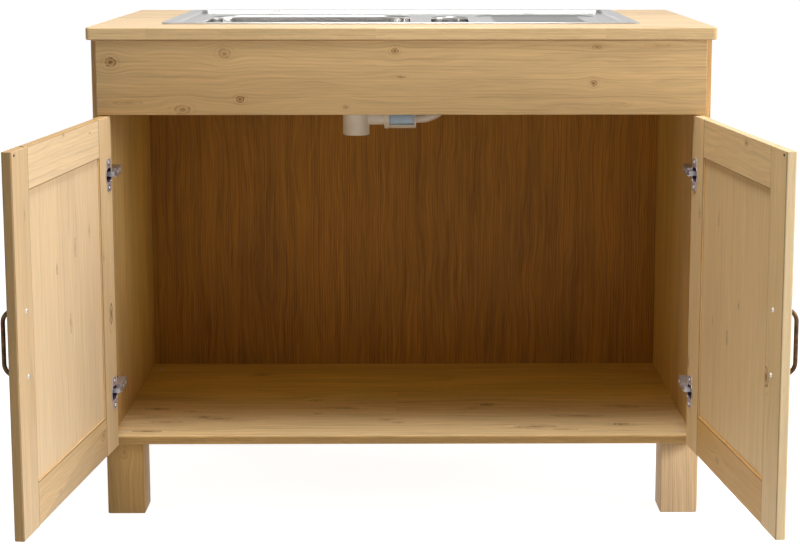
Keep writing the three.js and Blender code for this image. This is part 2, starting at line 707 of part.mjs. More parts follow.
// The arm stays with the side: a knuckle round the pin, a neck in the cup, a riser through the
// cup's mouth and a channel that straddles the mounting plate. Places run inwards from the pin.
function buildArm(unit, name, side, z) {
  const half = ARM_HEIGHT / 2;
  const neck = NECK_HEIGHT / 2;
  const face = pinX - sideInner; // the side's inner face, from the pin
  const start = ARM_START - pinY;
  const end = start + ARM_LENGTH;
  const top = ARM_REACH + ARM_SHEET;
  const inwards = (x0, x1, ...rest) => block(...[-side * x0, -side * x1].sort(ascending), ...rest);
  const knuckle = rod(knuckleRadius, 0, 0, -neck, neck);
  const eye = rod(knuckleBore, 0, 0, -neck - PAST, neck + PAST);
  const sheet = ARM_SHEET / 2;
  const bar = inwards(knuckleBore + KNUCKLE_WALL / 2, top, -sheet, sheet, -neck, neck);
  const riser = inwards(ARM_REACH, top, -sheet, start + ARM_SHEET, -neck, neck);
  const low = face + PLATE_BASE + 2 * SEAT;
  const channel = inwards(low, top, start, end, -half, half);
  const room = half - sheet;
  const inside = inwards(low - PAST, ARM_REACH, start + ARM_SHEET, end + PAST, -room, room);
  const shell = carve(channel, { cut: [inside] });
  const arm = carve(knuckle, { join: [bar, riser, shell], cut: [eye] });
  mesh(`${name}_arm`, hingeSteel, arm, unit).position.set(side * pinX, pinY, z);

  const [r0, r1] = [face + SEAT, face + SEAT + PLATE_BASE];
  const w0 = (start + end - PLATE_WING_WIDTH) / 2;
  const wing = PLATE_WING / 2;
  const ridge = PLATE_RAIL_HEIGHT / 2;
  const base = inwards(r0, r1, start + ARM_SHEET, end, -half, half);
  const wings = inwards(r0, r1, w0, w0 + PLATE_WING_WIDTH, -wing, wing);
  const ridgeStart = start + ARM_SHEET + SEAT;
  const body = inwards(r0, ARM_REACH - SEAT, ridgeStart, end - PLATE_RAIL_END, -ridge, ridge);
  const plate = carve(base, { join: [wings, body] });
  mesh(`${name}_plate`, hingeSteel, plate, unit).position.set(side * pinX, pinY, z);
}

// ---- Sink ----

// A rectangle of the sink in plan, inset all round from its outer edge.
function sinkPlan(inset, radius, Kind) {
  return roundedRectangle(
    sinkLeft + inset,
    sinkLeft + SINK_WIDTH - inset,
    SINK_FRONT + inset,
    sinkRear - inset,
    radius,
    Kind,
  );
}

// The plan of a hollow in the deck, grown by one thickness of sheet for its outside.
function hollowPlan(left, width, length, corner, grow) {
  return roundedRectangle(
    left - grow,
    left + width + grow,
    bowlMiddle - length / 2 - grow,
    bowlMiddle + length / 2 + grow,
    corner + grow,
  );
}

// The outside and the inside of one hollow of the deck.
function bowl(left, width, length, corner, floor, radius) {
  const over = rimTop + 2 * radius;
  return [SHEET, 0].map((grow) => {
    const plan = hollowPlan(left, width, length, corner, grow);
    return pressed(plan, floor - grow, over, radius + grow);
  });
}

function drainerRibs() {
  const length = drainerWidth - 2 * RIB_MARGIN;
  const pitch = (DRAINER_LENGTH - 2 * RIB_MARGIN) / (DRAINER_RIBS - 1);
  return Array.from({ length: DRAINER_RIBS }, (_, i) => {
    const rib = new THREE.CapsuleGeometry(RIB_RADIUS, length, 2, 8).rotateZ(Math.PI / 2);
    const y = bowlMiddle + (i - (DRAINER_RIBS - 1) / 2) * pitch;
    return rib.translate(drainerLeft + drainerWidth / 2, y, drainerFloor - SHEET / 2);
  });
}

function buildSink(parent) {
  const over = rimTop + 2 * BOWL_FLOOR_RADIUS + PAST;
  const rim = raise(sinkPlan(0, SINK_CORNER), WORKTOP_TOP, rimTop);
  const underRim = sinkPlan(RIM_EDGE, SINK_CORNER - RIM_EDGE);
  const pocket = raise(underRim, WORKTOP_TOP - PAST, rimTop - SHEET);
  const pan = raise(sinkPlan(DECK_INSET - SHEET, DECK_CORNER), deckTop - SHEET, rimTop);
  const deck = raise(sinkPlan(DECK_INSET, DECK_CORNER - SHEET), deckTop, over);
  const [mainOutside, mainInside] = bowl(
    bowlLeft,
    BOWL_WIDTH,
    BOWL_LENGTH,
    BOWL_CORNER,
    bowlFloor,
    BOWL_FLOOR_RADIUS,
  );
  const smallCorner = (SMALL_WIDTH - SMALL_END) / 2;
  const [smallOutside, smallInside] = bowl(
    smallLeft,
    SMALL_WIDTH,
    SMALL_LENGTH,
    smallCorner,
    smallFloor,
    SMALL_FLOOR_RADIUS,
  );
  const drainer = (grow) =>
    hollowPlan(drainerLeft, drainerWidth, DRAINER_LENGTH, DRAINER_CORNER, grow);
  const drainerOutside = raise(drainer(SHEET), drainerFloor - SHEET, deckTop);
  const drainerInside = raise(drainer(0), drainerFloor, over);
  const outlet = (radius, x, floor) =>
    rod(radius + OUTLET_PLAY, x, bowlMiddle, floor - SHEET - PAST, floor + PAST, 28);
  const outlets = [
    outlet(WASTE_CUP_RADIUS, wasteX, bowlFloor),
    outlet(SMALL_TUBE_RADIUS, smallX, smallFloor),
  ];
  const hung = carve(rim, { cut: [pocket] });
  const shell = carve(hung, {
    join: [pan, mainOutside, smallOutside, drainerOutside],
    cut: [deck, mainInside, smallInside, drainerInside, ...outlets],
  });
  mesh("sink", stainless, carve(shell, { join: drainerRibs() }), parent);
}

function buildSeal(parent) {
  const inset = RIM_EDGE + SEAT;
  const strip = sinkPlan(inset, SINK_CORNER - inset);
  strip.holes.push(sinkPlan(inset + SEAL_WIDTH, SEAL_CORNER, THREE.Path));
  const low = WORKTOP_TOP + SEAT;
  mesh("sink_seal", rubber, raise(strip, low, low + SEAL_THICKNESS, 3), parent);
}

// Bent clips that hook under the rim and grip the worktop from below.
function buildClips(parent) {
  const top = rimTop - SHEET - SEAT;
  const grip = worktopUnderside - SEAT;
  const web = (SINK_OVERLAP + DECK_INSET) / 2; // between the cut-out and the pan
  const hook = DECK_INSET - SHEET - SEAT;
  for (const [row, edge, inward] of [["front", SINK_FRONT, 1], ["rear", sinkRear, -1]]) {
    const section = [
      [web - CLIP_SHEET, top],
      [hook, top],
      [hook, top - CLIP_SHEET],
      [web, top - CLIP_SHEET],
      [web, grip - CLIP_SHEET],
      [web - CLIP_GRIP, grip - CLIP_SHEET],
      [web - CLIP_GRIP, grip],
      [web - CLIP_SHEET, grip],
    ].map(([y, z]) => [edge + inward * y, z]);
    for (const [hand, side] of [["left", -1], ["right", 1]]) {
      const clip = run(outline(section), -CLIP_LENGTH / 2, CLIP_LENGTH / 2);
      const piece = mesh(`sink_clip_${row}_${hand}`, hingeSteel, clip, parent);
      piece.position.x = SINK_SHIFT + side * CLIP_SPREAD;
    }
  }
}

// ---- Waste ----

// Round holes on a circle about the middle of the waste.
function holeRing(radius, count, hole, z0, z1, sides) {
  return Array.from({ length: count }, (_, i) => {
    const angle = (2 * Math.PI * i) / count;
    const x = wasteX + radius * Math.cos(angle);
    const y = bowlMiddle + radius * Math.sin(angle);
    return rod(hole, x, y, z0, z1, sides);
  });
}

function buildWasteFlange(parent) {
  const seat = bowlFloor + SEAT;
  const floor = wasteCupFloor + SHEET;
  const cup = [
    [WASTE_FLANGE_RADIUS, seat],
    [WASTE_FLANGE_RADIUS, wasteFlangeTop],
    [WASTE_CUP_RADIUS - SHEET, wasteFlangeTop],
    [WASTE_CUP_RADIUS - SHEET, floor],
    [WASTE_SCREW_RADIUS + SEAT, floor],
    [WASTE_SCREW_RADIUS + SEAT, wasteCupFloor],
    [WASTE_CUP_RADIUS, wasteCupFloor],
    [WASTE_CUP_RADIUS, seat],
  ];
  const slots = holeRing(
    WASTE_SLOT_RING,
    WASTE_SLOTS,
    WASTE_SLOT_RADIUS,
    wasteCupFloor - PAST,
    floor + PAST,
    10,
  );
  const flange = carve(turnedRing(cup, wasteX, bowlMiddle, 28), { cut: slots });
  mesh("waste_flange", stainless, flange, parent);
}

// The body's cup narrows to the spigot, and a cross of bars in it takes the waste's screw.
function buildWasteBody(parent) {
  const [x, y] = [wasteX, bowlMiddle];
  const under = bowlFloor - SHEET - SEAT;
  const shoulder = wasteCupFloor - WASTE_BAR_HEIGHT;
  const wall = WASTE_BODY_WALL;
  const bore = SPIGOT_RADIUS - SPIGOT_WALL;
  const section = [
    [WASTE_FLANGE_RADIUS, under],
    [WASTE_CUP_RADIUS + WASTE_BODY_PLAY, under],
    [WASTE_BODY_RADIUS - wall, shoulder + wall],
    [bore, shoulder - wall],
    [bore, spigotEnd],
    [SPIGOT_RADIUS - SPIGOT_WALL / 3, spigotEnd],
    [SPIGOT_RADIUS, spigotEnd + SPIGOT_LEAD],
    [SPIGOT_RADIUS, shoulder - 2 * wall],
    [WASTE_BODY_RADIUS, shoulder],
    [WASTE_BODY_RADIUS, under - WASTE_BODY_FLANGE],
    [WASTE_FLANGE_RADIUS, under - WASTE_BODY_FLANGE],
  ];
  const branch = linkBar(LINK_RADIUS, x + SPIGOT_RADIUS - SPIGOT_WALL / 2, x + LINK_START);
  const inside = rod(bore, x, y, spigotEnd - PAST, shoulder - wall, 28);
  const branched = carve(turnedRing(section, x, y, 28), { join: [branch], cut: [inside] });

  const [low, high] = [shoulder, wasteCupFloor - SEAT];
  const reach = WASTE_BODY_RADIUS - wall / 2;
  const bar = WASTE_BAR_WIDTH / 2;
  const bars = [
    block(x - reach, x + reach, y - bar, y + bar, low, high),
    block(x - bar, x + bar, y - reach, y + reach, low, high),
    rod(WASTE_HUB_RADIUS, x, y, low, high),
  ];
  const way = linkBar(LINK_RADIUS - LINK_WALL, x, x + LINK_START + PAST);
  const tap = rod(WASTE_SCREW_RADIUS + SEAT, x, y, low - PAST, high + PAST, 12);
  const body = carve(branched, { join: bars, cut: [way, tap] });
  mesh("waste_body", whitePlastic, body, parent);
}

function buildWasteScrew(parent) {
  const tip = wasteCupFloor - WASTE_BAR_HEIGHT;
  const head = wasteCupFloor + SHEET + SEAT;
  const section = [
    [0, tip],
    [WASTE_SCREW_RADIUS, tip],
    [WASTE_SCREW_RADIUS, head],
    [WASTE_SCREW_HEAD, head],
    [WASTE_SCREW_FACE, head + WASTE_SCREW_HEIGHT],
    [0, head + WASTE_SCREW_HEIGHT],
  ];
  mesh("waste_screw", stainless, turned(section, wasteX, bowlMiddle), parent);
}

function buildStrainer(parent) {
  const rest = wasteFlangeTop + SEAT;
  const sieve = wasteCupFloor + SHEET + STRAINER_FLOOR;
  const outer = WASTE_CUP_RADIUS - SHEET - STRAINER_PLAY;
  const top = rest + STRAINER_KNOB;
  const neck = top - STRAINER_KNOB_HEIGHT;
  const ease = STRAINER_KNOB_HEIGHT / 4;
  const section = [
    [0, sieve],
    [outer, sieve],
    [outer, rest],
    [STRAINER_RADIUS, rest],
    [STRAINER_RADIUS, rest + SHEET],
    [outer - SHEET, rest + SHEET],
    [outer - SHEET, sieve + SHEET],
    [STRAINER_STEM, sieve + SHEET],
    [STRAINER_STEM, neck],
    [STRAINER_KNOB_RADIUS, neck + ease],
    [STRAINER_KNOB_RADIUS, top - ease],
    [STRAINER_KNOB_RADIUS - 2 * ease, top],
    [0, top],
  ];
  const holes = STRAINER_RINGS.flatMap(([radius, count]) =>
    holeRing(radius, count, STRAINER_HOLE, sieve - PAST, sieve + SHEET + PAST, 6),
  );
  const basket = carve(turned(section, wasteX, bowlMiddle, 28), { cut: holes });
  mesh("strainer", stainless, basket, parent);
}

// ---- Link from the waste to the small bowl ----

const linkStart = wasteX + LINK_START + SEAT;
const collarStart = linkStart + LINK_LENGTH;
const sleeveStart = collarStart + COLLAR_LENGTH + SEAT;
const sleeveEnd = sleeveStart + SLEEVE_LENGTH;
const cradleEnd = sleeveEnd + SEAT + CRADLE_WALL;
const elbowBore = ELBOW_RADIUS - ELBOW_WALL;

function buildLinkPipe(parent) {
  const end = collarStart + COLLAR_LENGTH;
  const pipe = carve(linkBar(LINK_RADIUS, linkStart, end), {
    join: [linkBar(COLLAR_RADIUS, collarStart, end)],
    cut: [linkBar(LINK_RADIUS - LINK_WALL, linkStart - PAST, end + PAST)],
  });
  mesh("link_pipe", whitePlastic, pipe, parent);
}

// A sleeve that lies in an open cradle, whose end wall meets the elbow.
function buildSleeve(parent) {
  const bore = linkBar(SLEEVE_RADIUS - SLEEVE_WALL, sleeveStart - PAST, sleeveEnd + PAST);
  const sleeve = carve(linkBar(SLEEVE_RADIUS, sleeveStart, sleeveEnd), { cut: [bore] });
  mesh("link_sleeve", bluePlastic, sleeve, parent);

  const clear = SLEEVE_RADIUS + SEAT;
  const outer = clear + CRADLE_WALL;
  const openTop = block(
    sleeveStart - PAST,
    sleeveEnd + SEAT,
    bowlMiddle - outer - PAST,
    bowlMiddle + outer + PAST,
    linkAxis - outer + CRADLE_RISE,
    linkAxis + outer + PAST,
  );
  const hollow = linkBar(clear, sleeveStart - PAST, sleeveEnd + SEAT);
  const way = linkBar(elbowBore, sleeveEnd, cradleEnd + PAST);
  const cradle = carve(linkBar(outer, sleeveStart, cradleEnd), { cut: [hollow, way, openTop] });
  mesh("link_cradle", whitePlastic, cradle, parent);
}

function buildElbow(parent) {
  const start = cradleEnd + SEAT;
  const bend = start + ELBOW_LEAD;
  const end = smallTubeFoot - SEAT;
  const top = end - ELBOW_TOP_RUN;
  const at = (x, z) => new THREE.Vector3(x, bowlMiddle, z);
  const path = new THREE.CurvePath();
  path.add(new THREE.LineCurve3(at(start, linkAxis), at(bend, linkAxis)));
  path.add(
    new THREE.CubicBezierCurve3(
      at(bend, linkAxis),
      at(bend + ELBOW_RUN, linkAxis),
      at(smallX, top - ELBOW_SWEEP),
      at(smallX, top),
    ),
  );
  path.add(new THREE.LineCurve3(at(smallX, top), at(smallX, end)));
  mesh("link_elbow", whitePlastic, sweep(path, ELBOW_RADIUS, elbowBore, 16), parent);
}

function buildSmallWaste(parent) {
  const seat = smallFloor + SEAT;
  const flangeTop = seat + SHEET;
  const bore = SMALL_TUBE_RADIUS - SMALL_TUBE_WALL;
  const drain = [
    [smallFlange, seat],
    [smallFlange, flangeTop],
    [bore, flangeTop],
    [bore, smallTubeFoot + SMALL_TUBE_FOOT],
    [elbowBore, smallTubeFoot + SMALL_TUBE_FOOT],
    [elbowBore, smallTubeFoot],
    [SMALL_TUBE_RADIUS, smallTubeFoot],
    [SMALL_TUBE_RADIUS, seat],
  ];
  mesh("small_waste", stainless, turnedRing(drain, smallX, bowlMiddle), parent);

  const rest = flangeTop + SEAT;
  const edge = smallFlange - PLUG_MARGIN;
  const top = rest + PLUG_KNOB;
  const ease = PLUG_KNOB_HEIGHT / 4;
  const plug = [
    [0, rest - PLUG_DEPTH],
    [bore - PLUG_PLAY, rest - PLUG_DEPTH],
    [bore - PLUG_PLAY, rest],
    [edge, rest],
    [edge - PLUG_THICKNESS / 2, rest + PLUG_THICKNESS],
    [PLUG_STEM, rest + PLUG_THICKNESS],
    [PLUG_STEM, top - PLUG_KNOB_HEIGHT],
    [PLUG_KNOB_RADIUS, top - PLUG_KNOB_HEIGHT + ease],
    [PLUG_KNOB_RADIUS, top - ease],
    [PLUG_KNOB_RADIUS - ease, top],
    [0, top],
  ];
  mesh("small_plug", rubber, turned(plug, smallX, bowlMiddle), parent);
}

// ---- The whole unit ----

const unit = new THREE.Group();
buildWorktop(unit);
buildSide(unit, "side_left", -1);
buildSide(unit, "side_right", 1);
buildBottom(unit);
buildBack(unit);
buildRearRail(unit);
buildFascia(unit);
buildLegs(unit);
buildDoor(unit, "left", -1);
buildDoor(unit, "right", 1);
buildSink(unit);
buildSeal(unit);
buildClips(unit);
buildWasteFlange(unit);
buildWasteBody(unit);
buildWasteScrew(unit);
buildStrainer(unit);
buildLinkPipe(unit);
buildSleeve(unit);
buildElbow(unit);
buildSmallWaste(unit);

const extent = new THREE.Box3().setFromObject(unit, true);
unit.position.y = -Math.round((extent.min.y + extent.max.y) / 2);

const cabinet = new THREE.Group();
cabinet.add(unit);

export default cabinet;
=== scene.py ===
# %% [markdown]
# A sink base cabinet in pine: two framed doors on concealed hinges, a fascia board, four square
# legs, a worktop of glued staves and an inset steel sink with its waste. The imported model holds
# every piece at its true size. This script gives each piece its finish, rounds what a real
# maker rounds, and adds the small fittings, such as screw heads, that the solids leave out.

# %% Load the frame
import json
import math

import bmesh
import bpy
from mathutils import Matrix, Vector


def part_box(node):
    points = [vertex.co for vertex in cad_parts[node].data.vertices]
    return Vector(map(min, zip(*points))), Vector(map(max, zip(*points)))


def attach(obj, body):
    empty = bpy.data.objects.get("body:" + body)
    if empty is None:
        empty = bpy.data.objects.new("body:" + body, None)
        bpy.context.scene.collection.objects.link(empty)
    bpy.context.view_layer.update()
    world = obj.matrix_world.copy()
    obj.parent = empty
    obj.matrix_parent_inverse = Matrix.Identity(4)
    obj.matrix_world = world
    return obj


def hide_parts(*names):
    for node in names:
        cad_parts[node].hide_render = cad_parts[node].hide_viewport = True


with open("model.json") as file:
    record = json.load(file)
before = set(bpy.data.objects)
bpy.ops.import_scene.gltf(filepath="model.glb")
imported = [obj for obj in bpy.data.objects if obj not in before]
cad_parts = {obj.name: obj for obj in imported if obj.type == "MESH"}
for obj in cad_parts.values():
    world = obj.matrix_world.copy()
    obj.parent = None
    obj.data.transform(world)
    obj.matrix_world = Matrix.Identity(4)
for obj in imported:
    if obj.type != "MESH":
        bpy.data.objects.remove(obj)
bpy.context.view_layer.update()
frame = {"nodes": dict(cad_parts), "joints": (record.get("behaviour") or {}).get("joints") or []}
cad = frame["nodes"]
scene = bpy.context.scene
MM = 0.001

# %% [markdown]
# The photograph was taken with a longish lens from standing height, a little right of the
# middle. Its uprights are upright because the lens was shifted down. A shift stays with the
# camera in every other view, so this camera takes only a small part of it and tilts for the rest.

# %% Camera
PICTURE_WIDTH = 800  # pixels
FOCAL_PIXELS = 1835.2
CAMERA_PLACE = (0.0222, -3.2736, 1.0634)
CAMERA_TILT = -8.829  # degrees below the horizon
CAMERA_TURN = -0.408
CAMERA_SHIFT = (-0.0345, -0.085)

lens = bpy.data.cameras.new("camera")
lens.sensor_width = 36
lens.lens = FOCAL_PIXELS * lens.sensor_width / PICTURE_WIDTH
lens.shift_x, lens.shift_y = CAMERA_SHIFT
camera = bpy.data.objects.new("camera", lens)
camera.location = CAMERA_PLACE
camera.rotation_euler = (math.radians(90 + CAMERA_TILT), 0, math.radians(CAMERA_TURN))
scene.collection.objects.link(camera)
scene.camera = camera

# %% [markdown]
# Two kinds of helper come first. The node helpers add a shader node and feed its sockets with
# either a link or a plain number, which keeps each material short enough to read.


# %% Node helpers
def feed(tree, socket, value):
    if isinstance(value, bpy.types.NodeSocket):
        tree.links.new(value, socket)
    else:
        socket.default_value = value


def add(tree, kind, sockets=(), **settings):
    node = tree.nodes.new("ShaderNode" + kind)
    for key, value in settings.items():
        setattr(node, key, value)
    for key, value in dict(sockets).items():
        feed(tree, node.inputs[key], value)
    return node


def calc(tree, operation, *values):
    node = add(tree, "Math", operation=operation)
    for socket, value in zip(node.inputs, values):
        feed(tree, socket, value)
    return node.outputs[0]


def blend(tree, factor, first, second, kind="MIX"):
    node = add(tree, "Mix", data_type="RGBA", blend_type=kind)
    for index, value in ((0, factor), (6, first), (7, second)):
        feed(tree, node.inputs[index], value)
    return node.outputs[2]


def span(tree, value, low, high, to_low=0.0, to_high=1.0, smooth=True):
    kind = "SMOOTHSTEP" if smooth else "LINEAR"
    node = add(tree, "MapRange", interpolation_type=kind, clamp=True)
    for socket, number in zip(node.inputs, (value, low, high, to_low, to_high)):
        feed(tree, socket, number)
    return node.outputs[0]


def vector(tree, operation, first, second):
    return add(tree, "VectorMath", {0: first, 1: second}, operation=operation).outputs[0]


def parts(tree, place):
    return add(tree, "SeparateXYZ", {0: place}).outputs


def point(tree, x=0.0, y=0.0, z=0.0):
    return add(tree, "CombineXYZ", {0: x, 1: y, 2: z}).outputs[0]


def times(tree, first, second):
    return calc(tree, "MULTIPLY", first, second)


def grey(tree, level):
    return add(tree, "CombineColor", {0: level, 1: level, 2: level}).outputs[0]


def noise(tree, place, scale, detail=2.0, roughness=0.5):
    """Noise that is stretched by a scale along each axis, as waves per metre."""
    sockets = {"Vector": vector(tree, "MULTIPLY", place, scale), "Scale": 1.0}
    sockets.update({"Detail": detail, "Roughness": roughness})
    return add(tree, "TexNoise", sockets).outputs["Fac"]


def node_group(name, inputs, outputs):
    """A new node group. Inputs are (name, kind, value), and outputs are (name, kind)."""
    tree = bpy.data.node_groups.new(name, "ShaderNodeTree")
    for label, kind, value in inputs:
        socket = tree.interface.new_socket(label, in_out="INPUT", socket_type="NodeSocket" + kind)
        if value is not None:
            socket.default_value = value
    for label, kind in outputs:
        tree.interface.new_socket(label, in_out="OUTPUT", socket_type="NodeSocket" + kind)
    entry = tree.nodes.new("NodeGroupInput").outputs
    exit_ = tree.nodes.new("NodeGroupOutput").inputs
    return tree, entry, exit_


def give(tree, exit_, values):
    for key, value in values.items():
        feed(tree, exit_[key], value)
    return tree


def use(tree, group, sockets):
    node = add(tree, "Group", node_tree=group)
    for key, value in sockets.items():
        feed(tree, node.inputs[key], value)
    return node.outputs


def sRGB(red, green, blue):
    """A colour as it reads on a screen, 0 to 255, in the linear values that shaders take."""
    shares = (c / 255 for c in (red, green, blue))
    return (*(s / 12.92 if s <= 0.04045 else ((s + 0.055) / 1.055) ** 2.4 for s in shares), 1)


# %% [markdown]
# The mesh helpers wrap bmesh operators. A turned piece is half a section spun about an axis, and
# a hole is another closed mesh cut out of it. A finished piece gets its material, its body and
# the names of the solids that it stands for. A solid that is kept has its edges rounded instead.


# %% Mesh helpers
def ease(bm, offset, segments=2, angle=30):
    """Rounds every edge that is sharper than the angle."""
    limit = math.radians(angle)
    sharp = [e for e in bm.edges if len(e.link_faces) == 2 and e.calc_face_angle() > limit]
    bmesh.ops.bevel(
        bm,
        geom=sharp,
        offset=offset,
        affect="EDGES",
        segments=segments,
        profile=0.5,
        material=-1,
        clamp_overlap=True,
    )


def box(bm, low, high):
    made = bmesh.ops.create_cube(bm, size=1)["verts"]
    low, high = Vector(low), Vector(high)
    bmesh.ops.scale(bm, vec=high - low, verts=made)
    bmesh.ops.translate(bm, vec=(low + high) / 2, verts=made)
    return made


def turn(bm, section, place=Matrix(), steps=48):
    """Spins half a section, as (radius, height) pairs, about Z and moves it to its place."""
    line = [bm.verts.new((radius, 0, height)) for radius, height in section]
    edges = [bm.edges.new(pair) for pair in zip(line, line[1:])]
    before = set(bm.verts) - set(line)
    bmesh.ops.spin(
        bm,
        geom=line + edges,
        cent=(0, 0, 0),
        axis=(0, 0, 1),
        angle=2 * math.pi,
        steps=steps,
        use_merge=True,
    )
    made = [v for v in bm.verts if v not in before]
    bmesh.ops.remove_doubles(bm, verts=made, dist=1e-7)
    made = [v for v in bm.verts if v not in before]
    bmesh.ops.recalc_face_normals(bm, faces=list({f for v in made for f in v.link_faces}))
    bmesh.ops.transform(bm, matrix=place, verts=made)
    return made


def closed(section):
    return [*section, section[0]]


def in_mm(section):
    return [(radius * MM, height * MM) for radius, height in section]


def cut(bm, cutter):
    """Cuts one closed mesh out of another and gives back a new bmesh."""
    both = []
    for form in (bm, cutter):
        mesh = bpy.data.meshes.new("cut")
        form.to_mesh(mesh)
        form.free()
        both.append(bpy.data.objects.new("cut", mesh))
        scene.collection.objects.link(both[-1])
    modifier = both[0].modifiers.new("cut", "BOOLEAN")
    modifier.object, modifier.operation, modifier.solver = both[1], "DIFFERENCE", "EXACT"
    result = bmesh.new()
    result.from_object(both[0], bpy.context.evaluated_depsgraph_get())
    for thing in both:
        bpy.data.meshes.remove(thing.data)
    return result


def finished(bm, name, body, material, replaced=(), crease=32):
    """Turns a bmesh into a piece that rides on its body and stands for the nodes it replaces."""
    if not bm.faces:
        raise ValueError(f"{name} has no faces")
    mesh = bpy.data.meshes.new(name)
    bm.to_mesh(mesh)
    bm.free()
    mesh.shade_smooth()
    mesh.set_sharp_from_angle(angle=math.radians(crease))
    mesh.materials.append(material)
    piece = bpy.data.objects.new(name, mesh)
    scene.collection.objects.link(piece)
    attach(piece, body)
    if replaced:
        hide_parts(*replaced)
    return piece


def soften(node, width):
    """Keeps a solid as it is and rounds its edges with modifiers."""
    piece = cad[node]
    weld = piece.modifiers.new("weld", "WELD")
    weld.merge_threshold = 1e-6
    round_off = piece.modifiers.new("round", "BEVEL")
    round_off.width = width
    round_off.segments = 2
    round_off.limit_method = "ANGLE"
    round_off.angle_limit = math.radians(40)
    round_off.use_clamp_overlap = True
    return piece


def dress(node, material, arris=0.0):
    """Gives a solid that is kept its material and, with an arris, rounded edges."""
    piece = soften(node, arris) if arris else cad[node]
    piece.data.materials.clear()
    piece.data.materials.append(material)


# %% [markdown]
# The doors stand open, so their boards lie at an angle to the room. Each door gets a place: a
# matrix whose origin is on the hinge pins, whose x runs along the closed door and whose y runs
# through it. A board of a door is measured and given its grain in that place.

# %% Places of the doors
joints = {joint["name"]: joint for joint in frame["joints"]}
SIDES = {"left": -1, "right": 1}


def door_place(hand):
    joint = joints[f"{hand}_door_hinge"]
    x, y, _ = joint["pos_m"]
    open_angle = -SIDES[hand] * math.radians(joint["range_deg"][0])
    return Matrix.Translation((x, y, 0)) @ Matrix.Rotation(open_angle, 4, "Z")


doors = {hand: door_place(hand) for hand in SIDES}


def extent(node, place=Matrix()):
    """Lowest and highest corner of a solid, measured along the axes of a place."""
    back = place.inverted()
    points = [back @ v.co for v in cad[node].data.vertices]
    axes = range(3)
    low = Vector([min(p[i] for p in points) for i in axes])
    return low, Vector([max(p[i] for p in points) for i in axes])


for hand, place in doors.items():
    low, high = extent(f"{hand}_panel", place)
    print(hand, "panel, mm:", [round(v / MM) for v in (*low, *high)])

# %% [markdown]
# Pine shows three things: growth rings, fibres and knots. A board is a slice out of a trunk, so
# the rings are drawn in three dimensions, as distances from a pith line that runs below the
# board. That gives broad arches on a face and close lines on an edge, from one pattern. The
# rings wander a little with noise, each has a pale early part and a dark late edge, and fine
# fibres run along all of it. A knot pushes the rings aside before they are measured, and then
# lays its own dark heart and rim on top. Knots are chained, each adding to the one before.


# %% Knot and pine node groups
def make_knot_group():
    tree, entry, exit_ = node_group(
        "knot",
        [
            ("Place", "Vector", None),
            ("Flow", "Vector", None),
            ("Heart", "Float", 0.0),
            ("Rim", "Float", 0.0),
            ("Centre", "Vector", None),
            ("Length", "Float", 0.01),
            ("Width", "Float", 0.006),
            ("Depth of colour", "Float", 1.0),
        ],
        [("Flow", "Vector"), ("Heart", "Float"), ("Rim", "Float")],
    )
    depth = entry["Depth of colour"]
    apart = parts(tree, vector(tree, "SUBTRACT", entry["Place"], entry["Centre"]))
    ragged = noise(tree, entry["Place"], (160, 160, 160), 3)
    patchy = span(tree, noise(tree, entry["Place"], (90, 260, 260), 2), 0.35, 0.62, 0.25, 1.0)
    along = calc(tree, "DIVIDE", apart[0], entry["Length"])
    across = calc(tree, "DIVIDE", apart[1], entry["Width"])
    square = calc(tree, "ADD", calc(tree, "POWER", along, 2), calc(tree, "POWER", across, 2))
    radius = calc(tree, "MULTIPLY_ADD", ragged, 0.7, calc(tree, "SQRT", square))
    radius = calc(tree, "SUBTRACT", radius, 0.35)

    spread = calc(tree, "EXPONENT", times(tree, square, -0.12))
    push = times(tree, times(tree, apart[1], spread), -0.75)
    flow = vector(tree, "ADD", entry["Flow"], point(tree, y=push))

    heart = times(tree, span(tree, radius, 1.2, 0.2), depth)
    ring = calc(tree, "ABSOLUTE", calc(tree, "SUBTRACT", radius, 0.95))
    ring = times(tree, span(tree, ring, 0.24, 0.02), patchy)
    outer = calc(tree, "ABSOLUTE", calc(tree, "SUBTRACT", radius, 1.75))
    outer = times(tree, span(tree, outer, 0.35, 0.05), 0.1)
    pith = times(tree, span(tree, radius, 0.55, 0.15), 0.8)
    lines = calc(tree, "MAXIMUM", ring, calc(tree, "MAXIMUM", outer, pith))
    values = {"Flow": flow, "Heart": calc(tree, "MAXIMUM", heart, entry["Heart"])}
    values["Rim"] = calc(tree, "MAXIMUM", times(tree, lines, depth), entry["Rim"])
    return give(tree, exit_, values)


